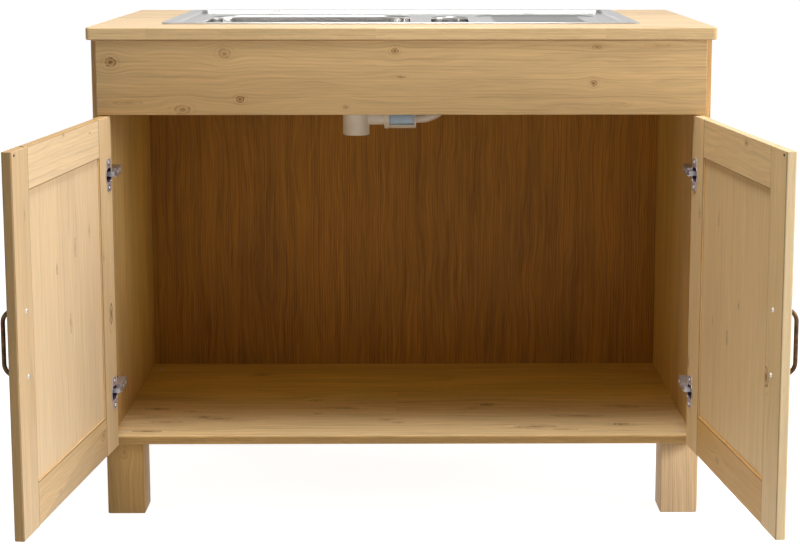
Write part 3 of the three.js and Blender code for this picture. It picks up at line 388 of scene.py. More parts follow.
def make_pine_group():
    tree, entry, exit_ = node_group(
        "pine",
        [
            ("Place", "Vector", None),
            ("Flow", "Vector", None),
            ("Heart", "Float", 0.0),
            ("Rim", "Float", 0.0),
            ("Pith", "Vector", (0.0, 0.02, -0.06)),
            ("Ring width", "Float", 0.0045),
            ("Contrast", "Float", 1.0),
            ("Streaks", "Float", 1.0),
            ("Tone", "Float", 0.0),
            ("Joint line and gap shade", "Float", 0.0),
            ("Wood", "Color", PINE),
        ],
        [("Color", "Color"), ("Roughness", "Float"), ("Height", "Float")],
    )
    flow = entry["Flow"]
    wave = calc(tree, "SUBTRACT", noise(tree, entry["Place"], (5, 16, 16), 2), 0.5)
    place = vector(tree, "ADD", entry["Place"], point(tree, y=times(tree, wave, 0.035)))
    apart = parts(tree, flow)
    pith = parts(tree, entry["Pith"])
    broad = calc(tree, "SUBTRACT", noise(tree, flow, (1.3, 4, 4), 2), 0.5)
    small = calc(tree, "SUBTRACT", noise(tree, flow, (7, 50, 50), 2), 0.5)
    lift = times(tree, apart[0], pith[0])
    beside = calc(tree, "SUBTRACT", apart[1], pith[1])
    below = calc(tree, "SUBTRACT", calc(tree, "ADD", apart[2], lift), pith[2])
    square = calc(tree, "ADD", calc(tree, "POWER", beside, 2), calc(tree, "POWER", below, 2))
    radius = calc(tree, "SQRT", square)
    radius = calc(tree, "MULTIPLY_ADD", broad, 0.03, radius)
    radius = calc(tree, "MULTIPLY_ADD", small, 0.003, radius)
    count = calc(tree, "DIVIDE", radius, entry["Ring width"])
    share = calc(tree, "FRACT", count)
    year = add(tree, "TexWhiteNoise", {"W": calc(tree, "FLOOR", count)}, noise_dimensions="1D")
    late = times(tree, span(tree, share, 0.3, 0.85), span(tree, share, 1.0, 0.9))
    late = times(tree, late, span(tree, year.outputs["Value"], 0, 1, 0.2, 1.0))
    fade = span(tree, noise(tree, place, (3, 25, 25), 2), 0.3, 0.7, 0.35, 1.0)
    late = times(tree, times(tree, late, fade), entry["Contrast"])

    fibre = noise(tree, place, (16, 650, 650), 3, 0.6)
    hair = noise(tree, place, (9, 260, 260), 2)
    streak = noise(tree, place, (3, 110, 110), 3, 0.6)
    patch = noise(tree, place, (2.2, 9, 9), 2)
    fleck = span(tree, noise(tree, place, (22, 420, 420), 2), 0.7, 0.8)

    dark = blend(tree, 1.0, entry["Wood"], (0.66, 0.55, 0.42, 1), "MULTIPLY")
    colour = blend(tree, late, entry["Wood"], dark)
    shade = span(tree, fibre, 0.3, 0.75, 0.055, -0.1, smooth=False)
    shade = calc(tree, "ADD", shade, span(tree, hair, 0.3, 0.7, 0.05, -0.05, smooth=False))
    shade = calc(tree, "ADD", shade, span(tree, streak, 0.25, 0.75, 0.07, -0.08))
    shade = calc(tree, "ADD", shade, span(tree, patch, 0.2, 0.8, 0.06, -0.06))
    tone = calc(tree, "ADD", entry["Tone"], 1.0)
    shade = calc(tree, "MULTIPLY_ADD", shade, entry["Streaks"], tone)
    colour = blend(tree, 1.0, colour, grey(tree, shade), "MULTIPLY")
    colour = blend(tree, times(tree, fleck, 0.4), colour, dark)
    # Joint line: partly a dark joint, partly painted shade in the gap.
    colour = blend(tree, entry["Joint line and gap shade"], colour, sRGB(104, 70, 34))

    heart_colour = blend(tree, span(tree, fibre, 0.35, 0.65), sRGB(146, 96, 46), sRGB(186, 138, 84))
    colour = blend(tree, times(tree, entry["Heart"], 0.7), colour, heart_colour)
    colour = blend(tree, times(tree, entry["Rim"], 0.9), colour, sRGB(92, 56, 24))
    relief = calc(tree, "MULTIPLY_ADD", late, 0.5, times(tree, fibre, -0.6))
    rough = span(tree, fibre, 0.2, 0.8, 0.45, 0.6)
    return give(tree, exit_, {"Color": colour, "Roughness": rough, "Height": relief})


PINE = sRGB(230, 194, 142)
knot_group = make_knot_group()
pine_group = make_pine_group()


# %% [markdown]
# Each board has its own slice of the trunk. Its material maps the piece's coordinates to the
# board's own axes: x along the grain, y across the width, z through the thickness, in metres
# from the middle of the board. Knots are then given where they lie on the board, in millimetres
# along and across, with half their length and width, and how dark they are.


# %% Wood for one board
def principled(name):
    material = bpy.data.materials.new(name)
    material.use_nodes = True
    tree = material.node_tree
    return material, tree, tree.nodes["Principled BSDF"]


def bump(tree, height, strength, distance):
    sockets = {"Height": height, "Strength": strength, "Distance": distance}
    return add(tree, "Bump", sockets).outputs["Normal"]


def board_axes(along, across, place=Matrix()):
    """A board's axes in the room, from the letters of the place's axes that they follow."""
    pick = {"X": Vector((1, 0, 0)), "Y": Vector((0, 1, 0)), "Z": Vector((0, 0, 1))}
    turned = place.to_3x3()
    grain, width = turned @ pick[along], turned @ pick[across]
    return Matrix((grain, width, grain.cross(width))).transposed()


def with_knots(tree, place, flow, knots):
    """Chains the knot group: the flow round all knots, and the masks of hearts and rims."""
    heart, rim = 0.0, 0.0
    for x, y, length, width, depth in knots:
        values = {"Place": place, "Flow": flow, "Heart": heart, "Rim": rim}
        values["Centre"] = (x * MM, y * MM, 0)
        values.update({"Length": length * MM, "Width": width * MM, "Depth of colour": depth})
        flow, heart, rim = use(tree, knot_group, values)
    return {"Flow": flow, "Heart": heart, "Rim": rim}


def carried(tree, place, flow, local):
    """The place on the board, pushed aside by the knots as the rings are."""
    return vector(tree, "ADD", place, vector(tree, "SUBTRACT", flow, local))


def pine_surface(tree, shader, values, relief=0.22):
    colour, rough, height = use(tree, pine_group, values)
    tree.links.new(colour, shader.inputs["Base Color"])
    tree.links.new(rough, shader.inputs["Roughness"])
    tree.links.new(bump(tree, height, relief, 0.0004), shader.inputs["Normal"])
    shader.inputs["Specular IOR Level"].default_value = 0.3
    return colour


def painted_inner_shade(tree, here, front, back, depths):
    """Painted shade: a board is paler at the front, and behind the back panel, than deep inside."""
    depth = parts(tree, here)[1]
    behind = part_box("back_panel")[1].y
    inside = times(tree, span(tree, depth, *depths), span(tree, depth, behind + MM, behind))
    return blend(tree, inside, front, back)


def wood(
    name,
    axes,
    centre,
    seed,
    knots=(),
    pith=(0.015, 0.09, -0.06),
    ring=5.5,
    half=None,
    edge_wood=None,
    outward=0,
    fade=None,
    front=None,
    outer=None,
    **sockets,
):
    """Pine for one board.

    A door's board gives half its size, the colour of its outer edges, with their painted light and
    shade, and which way they lie.
    A fade changes the tone along the board, front gives the colour at the front and where the
    painted shade deep inside takes over, and outer gives the side and the colour of the outer face.
    """
    material, tree, shader = principled(name)
    here = add(tree, "TexCoord").outputs["Object"]
    settings = {"Vector": here, "Location": centre, "Rotation": axes.to_euler()}
    local = add(tree, "Mapping", settings, vector_type="TEXTURE").outputs[0]
    drift = (seed * 1.37, seed * 0.61, seed * 0.43)
    place = vector(tree, "ADD", local, drift)
    values = {"Pith": pith, "Ring width": ring * MM, "Contrast": 0.6}
    values.update(with_knots(tree, local, local, knots))
    values["Place"] = carried(tree, place, values["Flow"], local)
    values.update(sockets)
    apart = parts(tree, local)
    # Painted shade: the board turns darker and more saturated deep inside the carcass.
    if front:
        values["Wood"] = painted_inner_shade(tree, here, front[0], values["Wood"], front[1:])
    if outer:
        through = span(tree, times(tree, apart[2], outer[0]), -0.2 * MM, 0.2 * MM)
        values["Wood"] = blend(tree, through, values["Wood"], outer[1])
    # Outer edges: their own colour, with painted light and shade.
    if edge_wood:
        level = calc(tree, "ABSOLUTE", apart[2])
        side = calc(tree, "ABSOLUTE", apart[1])
        on_face = span(tree, level, half[2] - 1.1 * MM, half[2] - 0.5 * MM)
        # The joint line is partly the joint's own dark colour and partly painted shade in the gap.
        line = span(tree, side, half[1] - 2.4 * MM, half[1] - 1.0 * MM, 0, 0.7)
        values["Joint line and gap shade"] = times(tree, line, on_face)
        outside = times(tree, apart[1], outward)
        outside = span(tree, outside, half[1] - 2 * MM, half[1] - MM)
        end = calc(tree, "ABSOLUTE", apart[0])
        outside = calc(tree, "MAXIMUM", outside, span(tree, end, half[0] - 2 * MM, half[0] - MM))
        on_edge = times(tree, outside, calc(tree, "SUBTRACT", 1.0, on_face))
        values["Wood"] = blend(tree, on_edge, values["Wood"], edge_wood)
    if fade:
        values["Tone"] = span(tree, apart[0], -0.5, 0.5, *fade, smooth=False)
    pine_surface(tree, shader, values)
    return material


# %% [markdown]
# The carcass boards. The fascia, the legs and the rear rail are plain boards, so each is made
# again as a cube with rounded arrises. The sides, the bottom and the back keep their solids,
# because the grooves are in them, and get their edges rounded by modifiers.


# %% Carcass boards
def plain_board(node, along, across, arris, seed, **finish):
    low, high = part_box(node)
    bm = bmesh.new()
    box(bm, low, high)
    ease(bm, arris, 3)
    axes = board_axes(along, across)
    material = wood(f"{node}_wood", axes, (low + high) / 2, seed, **finish)
    return finished(bm, f"{node}_board", "cabinet", material, [node])


def grooved_board(node, along, across, arris, seed, place=Matrix(), **finish):
    low, high = extent(node, place)
    centre = place @ ((low + high) / 2)
    if finish.get("edge_wood"):
        spans = dict(zip("XYZ", (high - low) / 2))
        rest = ({"X", "Y", "Z"} - {along, across}).pop()
        finish["half"] = [spans[letter] for letter in (along, across, rest)]
    material = wood(f"{node}_wood", board_axes(along, across, place), centre, seed, **finish)
    dress(node, material, arris)


FASCIA_KNOTS = [
    (-508, 27, 9, 8, 1.0),
    (-309, 42, 10, 8, 0.55),
    (-283, -38, 7, 5, 1.0),
    (-384, -56, 13, 8, 0.5),
    (-98, -52, 6, 4, 0.6),
    (-12, 47, 6, 5, 1.0),
    (-3, 1, 8, 2, 0.9),
    (335, -10, 6, 5, 1.0),
    (340, 53, 8, 3, 0.7),
    (-478, -44, 24, 4, 0.25),
    (446, 56, 24, 3, 0.3),
    (386, -46, 20, 5, 0.15),
]
FASCIA_WOOD = sRGB(210, 174, 122)
finish = {"knots": FASCIA_KNOTS, "pith": (0.012, 0.1, 0.05), "Wood": FASCIA_WOOD}
finish.update({"fade": (0.07, -0.1), "Contrast": 0.5, "Streaks": 1.1})
plain_board("fascia", "X", "Z", 1.5 * MM, 1, **finish)
LEGS = {
    "leg_front_left": (5, sRGB(211, 167, 103), [(50, -2, 12, 7, 0.3)]),
    "leg_front_right": (2.6, sRGB(232, 197, 152), []),
    "leg_rear_left": (5, PINE, []),
    "leg_rear_right": (4, PINE, []),
}
for seed, (node, (rings, colour, knots)) in enumerate(LEGS.items()):
    finish = {"knots": knots, "pith": (0.01, 0.06, 0.05), "ring": rings, "Wood": colour}
    plain_board(node, "Z", "X", 3 * MM, 11 + seed, **finish)
plain_board("rear_rail", "X", "Z", 1.5 * MM, 3)
# SHADED_PINE is painted shade on the sides' inner faces, darker and more saturated deep inside than
# at the front. OUTSIDE_PINE is the outer faces' own colour.
SHADED_PINE = sRGB(226, 184, 92)
SIDE_FRONT = (sRGB(226, 188, 124), 0.0, 0.36)
OUTSIDE_PINE = sRGB(222, 182, 124)
for seed, (hand, side) in enumerate(SIDES.items()):
    finish = {"pith": (0.01, 0.4, -0.1), "front": SIDE_FRONT, "Wood": SHADED_PINE, "Streaks": 1.5}
    finish["outer"] = (-side, OUTSIDE_PINE)
    grooved_board(f"side_{hand}", "Z", "Y", 0.8 * MM, 21 + seed, **finish)

# %% [markdown]
# A door is five boards: two stiles, two rails and a panel that lies lower. Each has its knots where
# the real door shows them. The stiles and rails meet in a fine dark joint line, partly the joint's
# own colour and partly painted shade in the gap. Their outer edges are sawn and sanded across, so
# they have a colour of their own, with painted shade on the left door's edges and painted light on
# the right door's. The light differs from board to board, so a few boards have their own tone on
# the inner face, as painted light and shade: the left door paler, the right door's bottom rail
# darker.

# %% Doors
DOOR_KNOTS = {
    "left": {
        "hinge_stile": [(-51, -10, 18, 10, 0.9), (56, 27, 6, 3, 0.6)],
        "free_stile": [(198, -14, 9, 2, 0.6)],
        "top_rail": [(10, 30, 5, 3, 0.6), (-137, 17, 6, 2, 0.6)],
        "bottom_rail": [(-170, 8, 14, 9, 0.5), (83, -12, 8, 3, 0.3)],
        "panel": [
            (114, -132, 12, 5, 0.3),
            (100, -48, 16, 6, 0.35),
            (82, 52, 9, 2, 1.0),
            (-21, -13, 16, 6, 0.35),
            (-185, 185, 5, 4, 1.0),
        ],
    },
    "right": {
        "hinge_stile": [(133, 23, 9, 3, 0.9), (-146, -31, 9, 4, 0.6)],
        "free_stile": [(-60, -32, 16, 12, 0.8)],
        "top_rail": [(60, 22, 8, 5, 0.8)],
        "bottom_rail": [(-60, -5, 10, 6, 0.4)],
        "panel": [
            (137, -99, 12, 3, 0.5),
            (15, 27, 6, 3, 0.7),
            (-54, -35, 12, 3, 0.9),
            (-42, -122, 6, 4, 0.3),
        ],
    },
}
DOOR_BOARDS = {  # grain, width, and which way the outer edge lies
    "hinge_stile": ("Z", "X", -1),
    "free_stile": ("Z", "X", 1),
    "top_rail": ("X", "Z", 1),
    "bottom_rail": ("X", "Z", -1),
    "panel": ("Z", "X", 0),
}
# Inner faces carry painted light and shade: the left door is painted paler, as if lit more, and
# single boards have their own painted light or shade, such as the right door's darker bottom rail.
DOOR_WOOD_AND_LIGHT = {"left": sRGB(249, 219, 176), "right": sRGB(240, 206, 152)}
DOOR_FACE_WOOD = sRGB(236, 202, 150)
# Edge colours: the sawn edges' own colour, with painted shade on the left door's and painted light
# on the right door's.
DOOR_EDGE_WOOD_LIT_AND_SHADED = {"left": sRGB(212, 172, 116), "right": sRGB(248, 218, 170)}
LIT_AND_SHADED_BOARDS = {
    "left_free_stile": sRGB(233, 201, 157),
    "left_hinge_stile": sRGB(238, 206, 158),
    "left_bottom_rail": sRGB(232, 196, 144),
    "right_bottom_rail": sRGB(216, 170, 102),
}


def mirrored(knots, along, hand):
    """The right door's x axis runs from its free edge, so its places along x change sign."""
    flip = 1 if hand == "right" else -1
    first, second = (-flip, 1) if along == "X" else (1, -flip)
    return [(first * x, second * y, *rest) for x, y, *rest in knots]


for hand, place in doors.items():
    for number, (part, (along, across, outward)) in enumerate(DOOR_BOARDS.items()):
        seed = 31 + number + 10 * (hand == "right")
        side = 0.03 + 0.06 * math.sin(2.3 * seed)
        grooved_board(
            f"{hand}_{part}",
            along,
            across,
            0.7 * MM,
            seed,
            place,
            knots=mirrored(DOOR_KNOTS[hand][part], along, hand),
            pith=(0.012 * math.sin(seed), side, -0.07),
            ring=5.2 + 0.6 * math.cos(seed),
            Wood=LIT_AND_SHADED_BOARDS.get(f"{hand}_{part}", DOOR_WOOD_AND_LIGHT[hand]),
            edge_wood=DOOR_EDGE_WOOD_LIT_AND_SHADED[hand],
            outer=(1 if along == "X" else -1, DOOR_FACE_WOOD),
            outward=outward * (-SIDES[hand] if across == "X" else 1),
            Contrast=0.3,
            Streaks=0.7,
        )


# %% [markdown]
# The worktop and the bottom are glued up from staves. Each stave is a different length of a
# different board, so a white-noise value picks its own drift, pith and tone.


# %% Glued panels
def glued(
    name,
    centre,
    seed,
    stave,
    lengths,
    tone,
    knots=(),
    glue=0.3,
    front=None,
    edge=None,
    **sockets,
):
    """Wood whose grain runs along X, glued up across Y from staves of one width."""
    material, tree, shader = principled(name)
    here = add(tree, "TexCoord").outputs["Object"]
    local = vector(tree, "SUBTRACT", here, centre)
    apart = parts(tree, local)
    row = calc(tree, "DIVIDE", apart[1], stave)
    number = calc(tree, "ADD", calc(tree, "FLOOR", row), seed)
    pick = add(tree, "TexWhiteNoise", {"W": number}, noise_dimensions="1D").outputs["Value"]
    run = calc(tree, "MULTIPLY_ADD", pick, 3.0, apart[0])
    piece = calc(tree, "FLOOR", calc(tree, "DIVIDE", run, lengths))
    whole = calc(tree, "MULTIPLY_ADD", piece, 0.37, times(tree, number, 1.91))
    own = add(tree, "TexWhiteNoise", {"W": whole}, noise_dimensions="1D").outputs
    shades = add(tree, "SeparateColor", {0: own["Color"]}).outputs
    drift = times(tree, own["Value"], 40.0)
    place = vector(tree, "ADD", local, point(tree, drift, drift))
    half = calc(tree, "SUBTRACT", calc(tree, "FRACT", row), 0.5)
    flow = point(tree, calc(tree, "ADD", apart[0], drift), times(tree, half, stave), apart[2])
    side = span(tree, shades[0], 0, 1, 0.03, 0.09, smooth=False)
    down = span(tree, shades[1], 0, 1, -0.08, -0.03, smooth=False)
    values = {"Contrast": 0.6}
    values["Pith"] = point(tree, 0.01, side, down)
    values["Tone"] = span(tree, shades[2], 0, 1, -tone, tone, smooth=False)
    values.update(with_knots(tree, local, flow, knots))
    values["Place"] = carried(tree, place, values["Flow"], flow)
    values.update(sockets)
    # Painted shade: the board turns darker and more saturated deep inside the carcass.
    if front:
        values["Wood"] = painted_inner_shade(tree, here, front[0], values["Wood"], front[1:])
    if edge:
        level = calc(tree, "ABSOLUTE", apart[2])
        on_edge = span(tree, level, edge[1] - 0.5 * MM, edge[1] - 1.5 * MM)
        values["Wood"] = blend(tree, on_edge, values["Wood"], edge[0])
    colour = pine_surface(tree, shader, values)
    seam = span(tree, calc(tree, "ABSOLUTE", half), 0.5 - 0.0004 / stave, 0.5 - 0.0001 / stave)
    colour = blend(tree, times(tree, seam, glue), colour, sRGB(120, 80, 46))
    tree.links.new(colour, shader.inputs["Base Color"])
    return material


BOTTOM_KNOTS = [
    (-466, -277, 26, 5, 1.0),
    (-440, -215, 30, 9, 0.35),
    (-469, -121, 22, 7, 0.7),
    (-374, -180, 9, 6, 0.9),
    (-345, -192, 24, 7, 0.5),
    (-400, -140, 18, 5, 0.5),
    (-292, 149, 16, 8, 0.6),
    (-161, -156, 8, 6, 0.5),
    (-108, -117, 22, 6, 0.6),
    (-170, -60, 12, 8, 0.4),
    (-30, -199, 16, 7, 0.4),
    (-8, -222, 12, 6, 0.4),
    (40, 10, 60, 7, 0.3),
    (160, -94, 12, 8, 0.9),
    (130, -120, 14, 6, 0.4),
    (245, -250, 36, 12, 0.45),
    (300, -268, 22, 6, 0.4),
    (330, -175, 46, 9, 0.45),
    (404, -234, 14, 8, 0.8),
    (420, -110, 30, 12, 0.3),
]
# The bottom board's colours are painted shade: pale at the front, darker and more saturated deep
# inside, and a darker front edge, where less light falls.
low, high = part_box("bottom_panel")
bottom_wood = glued(
    "bottom_wood",
    (low + high) / 2,
    5,
    0.154,
    9.0,
    0.03,
    BOTTOM_KNOTS,
    0.12,
    (sRGB(244, 212, 158), 0.0, 0.3),
    (sRGB(212, 171, 108), (high.z - low.z) / 2),
    Wood=sRGB(224, 180, 76),
    Streaks=1.4,
)
dress("bottom_panel", bottom_wood, 0.6 * MM)
low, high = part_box("worktop")
worktop_wood = glued(
    "worktop_wood",
    (low + high) / 2,
    9,
    0.043,
    0.4,
    0.03,
    edge=(sRGB(230, 196, 144), (high.z - low.z) / 2),
    Wood=sRGB(240, 208, 164),
    Contrast=0.4,
)
dress("worktop", worktop_wood, 1.2 * MM)
# The back panel's inner face is partly the veneer's own brown and partly painted shade: dark and
# saturated, and darker towards the bottom.
low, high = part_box("back_panel")
veneer_and_shade = wood(
    "back_panel_wood",
    board_axes("Z", "X"),
    (low + high) / 2,
    51,
    pith=(0.01, 0.9, -0.05),
    ring=5,
    fade=(-0.16, 0.08),
    Wood=sRGB(180, 124, 32),
    outer=(1, OUTSIDE_PINE),
    Contrast=0.9,
    Streaks=2.2,
)
dress("back_panel", veneer_and_shade)

# %% [markdown]
# The metals and plastics. Pressed steel is brushed along one line: a noise stretched along that
# line varies the roughness and gives a very fine relief. The same group serves the sink and the
# hinges. The handles' bronze and the plastics have a soft mottle instead.


# %% Metal and plastic finishes
def make_brushed_group():
    tree, entry, exit_ = node_group(
        "brushed",
        [
            ("Place", "Vector", None),
            ("Lines", "Vector", (12.0, 1500.0, 1500.0)),
            ("Low", "Float", 0.2),
            ("High", "Float", 0.35),
        ],
        [("Roughness", "Float"), ("Height", "Float"), ("Smudge", "Float")],
    )
    hair = noise(tree, entry["Place"], entry["Lines"], 3.0)
    smudge = noise(tree, entry["Place"], (9, 9, 9), 3)
    mixed = calc(tree, "MULTIPLY_ADD", smudge, 0.5, times(tree, hair, 0.5))
    rough = span(tree, mixed, 0.3, 0.7, entry["Low"], entry["High"], smooth=False)
    return give(tree, exit_, {"Roughness": rough, "Height": hair, "Smudge": smudge})


def make_mottle_group():
    tree, entry, exit_ = node_group(
        "mottle",
        [
            ("Place", "Vector", None),
            ("Size", "Float", 0.01),
            ("First", "Color", (1, 1, 1, 1)),
            ("Second", "Color", (1, 1, 1, 1)),
            ("Rough", "Float", 0.4),
        ],
        [("Color", "Color"), ("Roughness", "Float"), ("Height", "Float")],
    )
    waves = calc(tree, "DIVIDE", 1.0, entry["Size"])
    settings = {"Vector": entry["Place"], "Scale": waves, "Detail": 4.0}
    cloud = add(tree, "TexNoise", settings).outputs["Fac"]
    colour = blend(tree, span(tree, cloud, 0.35, 0.68), entry["First"], entry["Second"])
    rough = calc(tree, "MULTIPLY_ADD", calc(tree, "SUBTRACT", cloud, 0.5), 0.25, entry["Rough"])
    return give(tree, exit_, {"Color": colour, "Roughness": rough, "Height": cloud})


brushed_group = make_brushed_group()
mottle_group = make_mottle_group()


def brushed(name, colour, low, high, lines, metallic=1.0, polished_below=None):
    """Brushed steel. Below a height, where a pressing is drawn deep, it is polished instead."""
    material, tree, shader = principled(name)
    here = add(tree, "TexCoord").outputs["Object"]
    values = {"Place": here, "Lines": lines, "Low": low, "High": high}
    rough, height, smudge = use(tree, brushed_group, values)
    if polished_below:
        level = parts(tree, here)[2]
        share = span(tree, level, polished_below - 4 * MM, polished_below, 0.4, 1.0)
        rough = times(tree, rough, share)
    tint = grey(tree, span(tree, smudge, 0.3, 0.7, 0.94, 1.0))
    tree.links.new(blend(tree, 1.0, colour, tint, "MULTIPLY"), shader.inputs["Base Color"])
    tree.links.new(rough, shader.inputs["Roughness"])
    tree.links.new(bump(tree, height, 0.08, 0.0001), shader.inputs["Normal"])
    shader.inputs["Metallic"].default_value = metallic
    return material


def mottled(name, first, second, size, rough, metallic=0.0, relief=0.1):
    material, tree, shader = principled(name)
    here = add(tree, "TexCoord").outputs["Object"]
    values = {"Place": here, "Size": size, "First": first, "Second": second, "Rough": rough}
    colour, roughness, height = use(tree, mottle_group, values)
    tree.links.new(colour, shader.inputs["Base Color"])
    tree.links.new(roughness, shader.inputs["Roughness"])
    tree.links.new(bump(tree, height, relief, 0.0003), shader.inputs["Normal"])
    shader.inputs["Metallic"].default_value = metallic
    return material


DECK_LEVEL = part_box("sink")[1].z - 6 * MM
sink_steel = brushed(
    "sink_steel",
    sRGB(210, 208, 205),
    0.27,
    0.34,
    (10, 1400, 1400),
    polished_below=DECK_LEVEL - 3 * MM,
)
bright_steel = brushed("bright_steel", sRGB(216, 216, 214), 0.18, 0.3, (200, 200, 200))
hinge_steel = brushed("hinge_steel", sRGB(214, 204, 212), 0.4, 0.55, (300, 300, 60), 0.7)
arm_steel = brushed("arm_steel", sRGB(206, 200, 204), 0.34, 0.5, (300, 300, 60), 0.75)
# dark_steel_and_shade is the plates' own dark steel, and painted shade where it darkens the cup's
# hollow and the rings round the flange's screws.
dark_steel_and_shade = brushed("dark_steel_and_shade", sRGB(60, 48, 52), 0.35, 0.5, (300, 300, 60))
screw_steel = brushed("screw_steel", sRGB(232, 228, 226), 0.34, 0.48, (400, 400, 400), 0.8)
bronze = mottled("bronze", sRGB(64, 47, 32), sRGB(104, 80, 54), 0.012, 0.42, 0.85, 0.2)
white_plastic = mottled("white_plastic", sRGB(252, 244, 230), sRGB(246, 236, 220), 0.02, 0.42)
blue_plastic = mottled("blue_plastic", sRGB(196, 222, 244), sRGB(184, 212, 238), 0.02, 0.35)
black_rubber = mottled("black_rubber", sRGB(34, 34, 35), sRGB(46, 45, 44), 0.006, 0.75)

# %% [markdown]
# A screw head with a cross recess. It is made once, turned and then cut, and every screw of the
# hinges and handles is a moved copy of that one mesh, scaled to its size. The two arms of the
# cross are cut one after the other: as one cutter they would run through each other, and such a
# cut can come back with no faces at all.


# %% Screw heads
HEAD_HEIGHT = 0.62  # of a head of radius 1


def make_screw_head():
    """A pan head of radius 1 on z = 0, facing up, whose foot goes 0.3 down."""
    bm = bmesh.new()
    section = [(0, -0.3), (1, -0.3), (1, 0.15), (0.86, 0.42), (0.5, 0.58), (0, HEAD_HEIGHT)]
    turn(bm, section, steps=32)
    ease(bm, 0.05)
    for angle in (0, 90):
        cutter = bmesh.new()
        arm = box(cutter, (-0.52, -0.11, 0.25), (0.52, 0.11, 1.0))
        turned = Matrix.Rotation(math.radians(angle), 3, "Z")
        bmesh.ops.rotate(cutter, cent=(0, 0, 0), matrix=turned, verts=arm)
        bm = cut(bm, cutter)
    mesh = bpy.data.meshes.new("screw_head")
    bm.to_mesh(mesh)
    bm.free()
    return mesh


screw_head = make_screw_head()


def screws(name, body, radius, height, places):
    """One piece with a screw head at each place, whose z axis is the screw's."""
    bm = bmesh.new()
    for number, place in enumerate(places):
        size = Matrix.Diagonal((radius, radius, height / HEAD_HEIGHT, 1))
        spin = Matrix.Rotation(0.7 + 1.3 * number, 4, "Z")
        head = screw_head.copy()
        head.transform(place @ spin @ size)
        bm.from_mesh(head)
        bpy.data.meshes.remove(head)
    return finished(bm, name, body, screw_steel, crease=40)


def facing(foot, direction):
    """A place at a foot point, whose z axis looks along a direction."""
    turned = Vector(direction).to_track_quat("Z", "Y").to_matrix().to_4x4()
    return Matrix.Translation(foot) @ turned


def inward(place):
    """The direction through a door, from its outer face to its inner one."""
    return place.to_3x3() @ Vector((0, 1, 0))


# %% [markdown]
# The bow handles are a round bar bent twice. The bar starts as a circle of edges: a straight
# stretch is an extrusion moved along, and a bend is a spin about the centre of the bend.


# %% Handles
def tube(bm, start, direction, radius, moves, sides=24):
    """Runs a round section through straight stretches (length,) and bends (centre, axis, angle)."""
    ring = bmesh.ops.create_circle(bm, cap_ends=False, radius=radius, segments=sides)["verts"]
    bmesh.ops.transform(bm, matrix=facing(start, direction), verts=ring)
    edges = list({e for v in ring for e in v.link_edges})
    heading = Vector(direction).normalized()
    ends = [edges]
    for move in moves:
        if len(move) == 1:
            made = bmesh.ops.extrude_edge_only(bm, edges=edges)["geom"]
            verts = [g for g in made if isinstance(g, bmesh.types.BMVert)]
            bmesh.ops.translate(bm, vec=heading * move[0], verts=verts)
        else:
            centre, axis, angle = move
            steps = max(4, round(math.degrees(abs(angle)) / 9))
            spun = bmesh.ops.spin(
                bm, geom=edges, cent=centre, axis=axis, angle=angle, steps=steps, use_merge=False
            )
            made = spun["geom_last"]
            heading = Matrix.Rotation(angle, 3, axis) @ heading
            verts = [g for g in made if isinstance(g, bmesh.types.BMVert)]
        ring = set(verts)
        edges = [e for v in ring for e in v.link_edges if e.other_vert(v) in ring]
        edges = list(set(edges))
        ends.append(edges)
    return ends


def cap(bm, *loops):
    for loop in loops:
        bmesh.ops.contextual_create(bm, geom=loop)


HANDLE_BEND = 19 * MM
for hand, place in doors.items():
    low, high = extent(f"{hand}_handle", place)
    radius = (high.x - low.x) / 2
    x = (low.x + high.x) / 2
    grip, seat = low.y + radius, high.y
    top, bottom = high.z - radius, low.z + radius
    straight = seat - grip - HANDLE_BEND
    bm = bmesh.new()
    quarter = math.pi / 2
    upper = (x, grip + HANDLE_BEND, top - HANDLE_BEND)
    lower = (x, grip + HANDLE_BEND, bottom + HANDLE_BEND)
    ends = tube(
        bm,
        (x, seat, top),
        (0, -1, 0),
        radius - 0.05 * MM,
        [
            (straight,),
            (upper, (1, 0, 0), quarter),
            (top - bottom - 2 * HANDLE_BEND,),
            (lower, (1, 0, 0), quarter),
            (straight,),
        ],
        32,
    )
    cap(bm, ends[0], ends[-1])
    bmesh.ops.recalc_face_normals(bm, faces=bm.faces)
    ease(bm, 0.5 * MM)
    bmesh.ops.transform(bm, matrix=place, verts=bm.verts)
    finished(bm, f"{hand}_handle_bow", f"{hand}_door", bronze, [f"{hand}_handle"])

    for level in ("lower", "upper"):
        node = f"{hand}_handle_screw_{level}"
        low, high = extent(node, place)
        middle = (low + high) / 2
        head = (high.x - low.x) / 2
        foot = place @ Vector((middle.x, high.y - 2 * MM, middle.z))
        spot = facing(foot, inward(place))
        screws(f"{node}_head", f"{hand}_door", head, 2 * MM, [spot])
        dress(node, screw_steel)
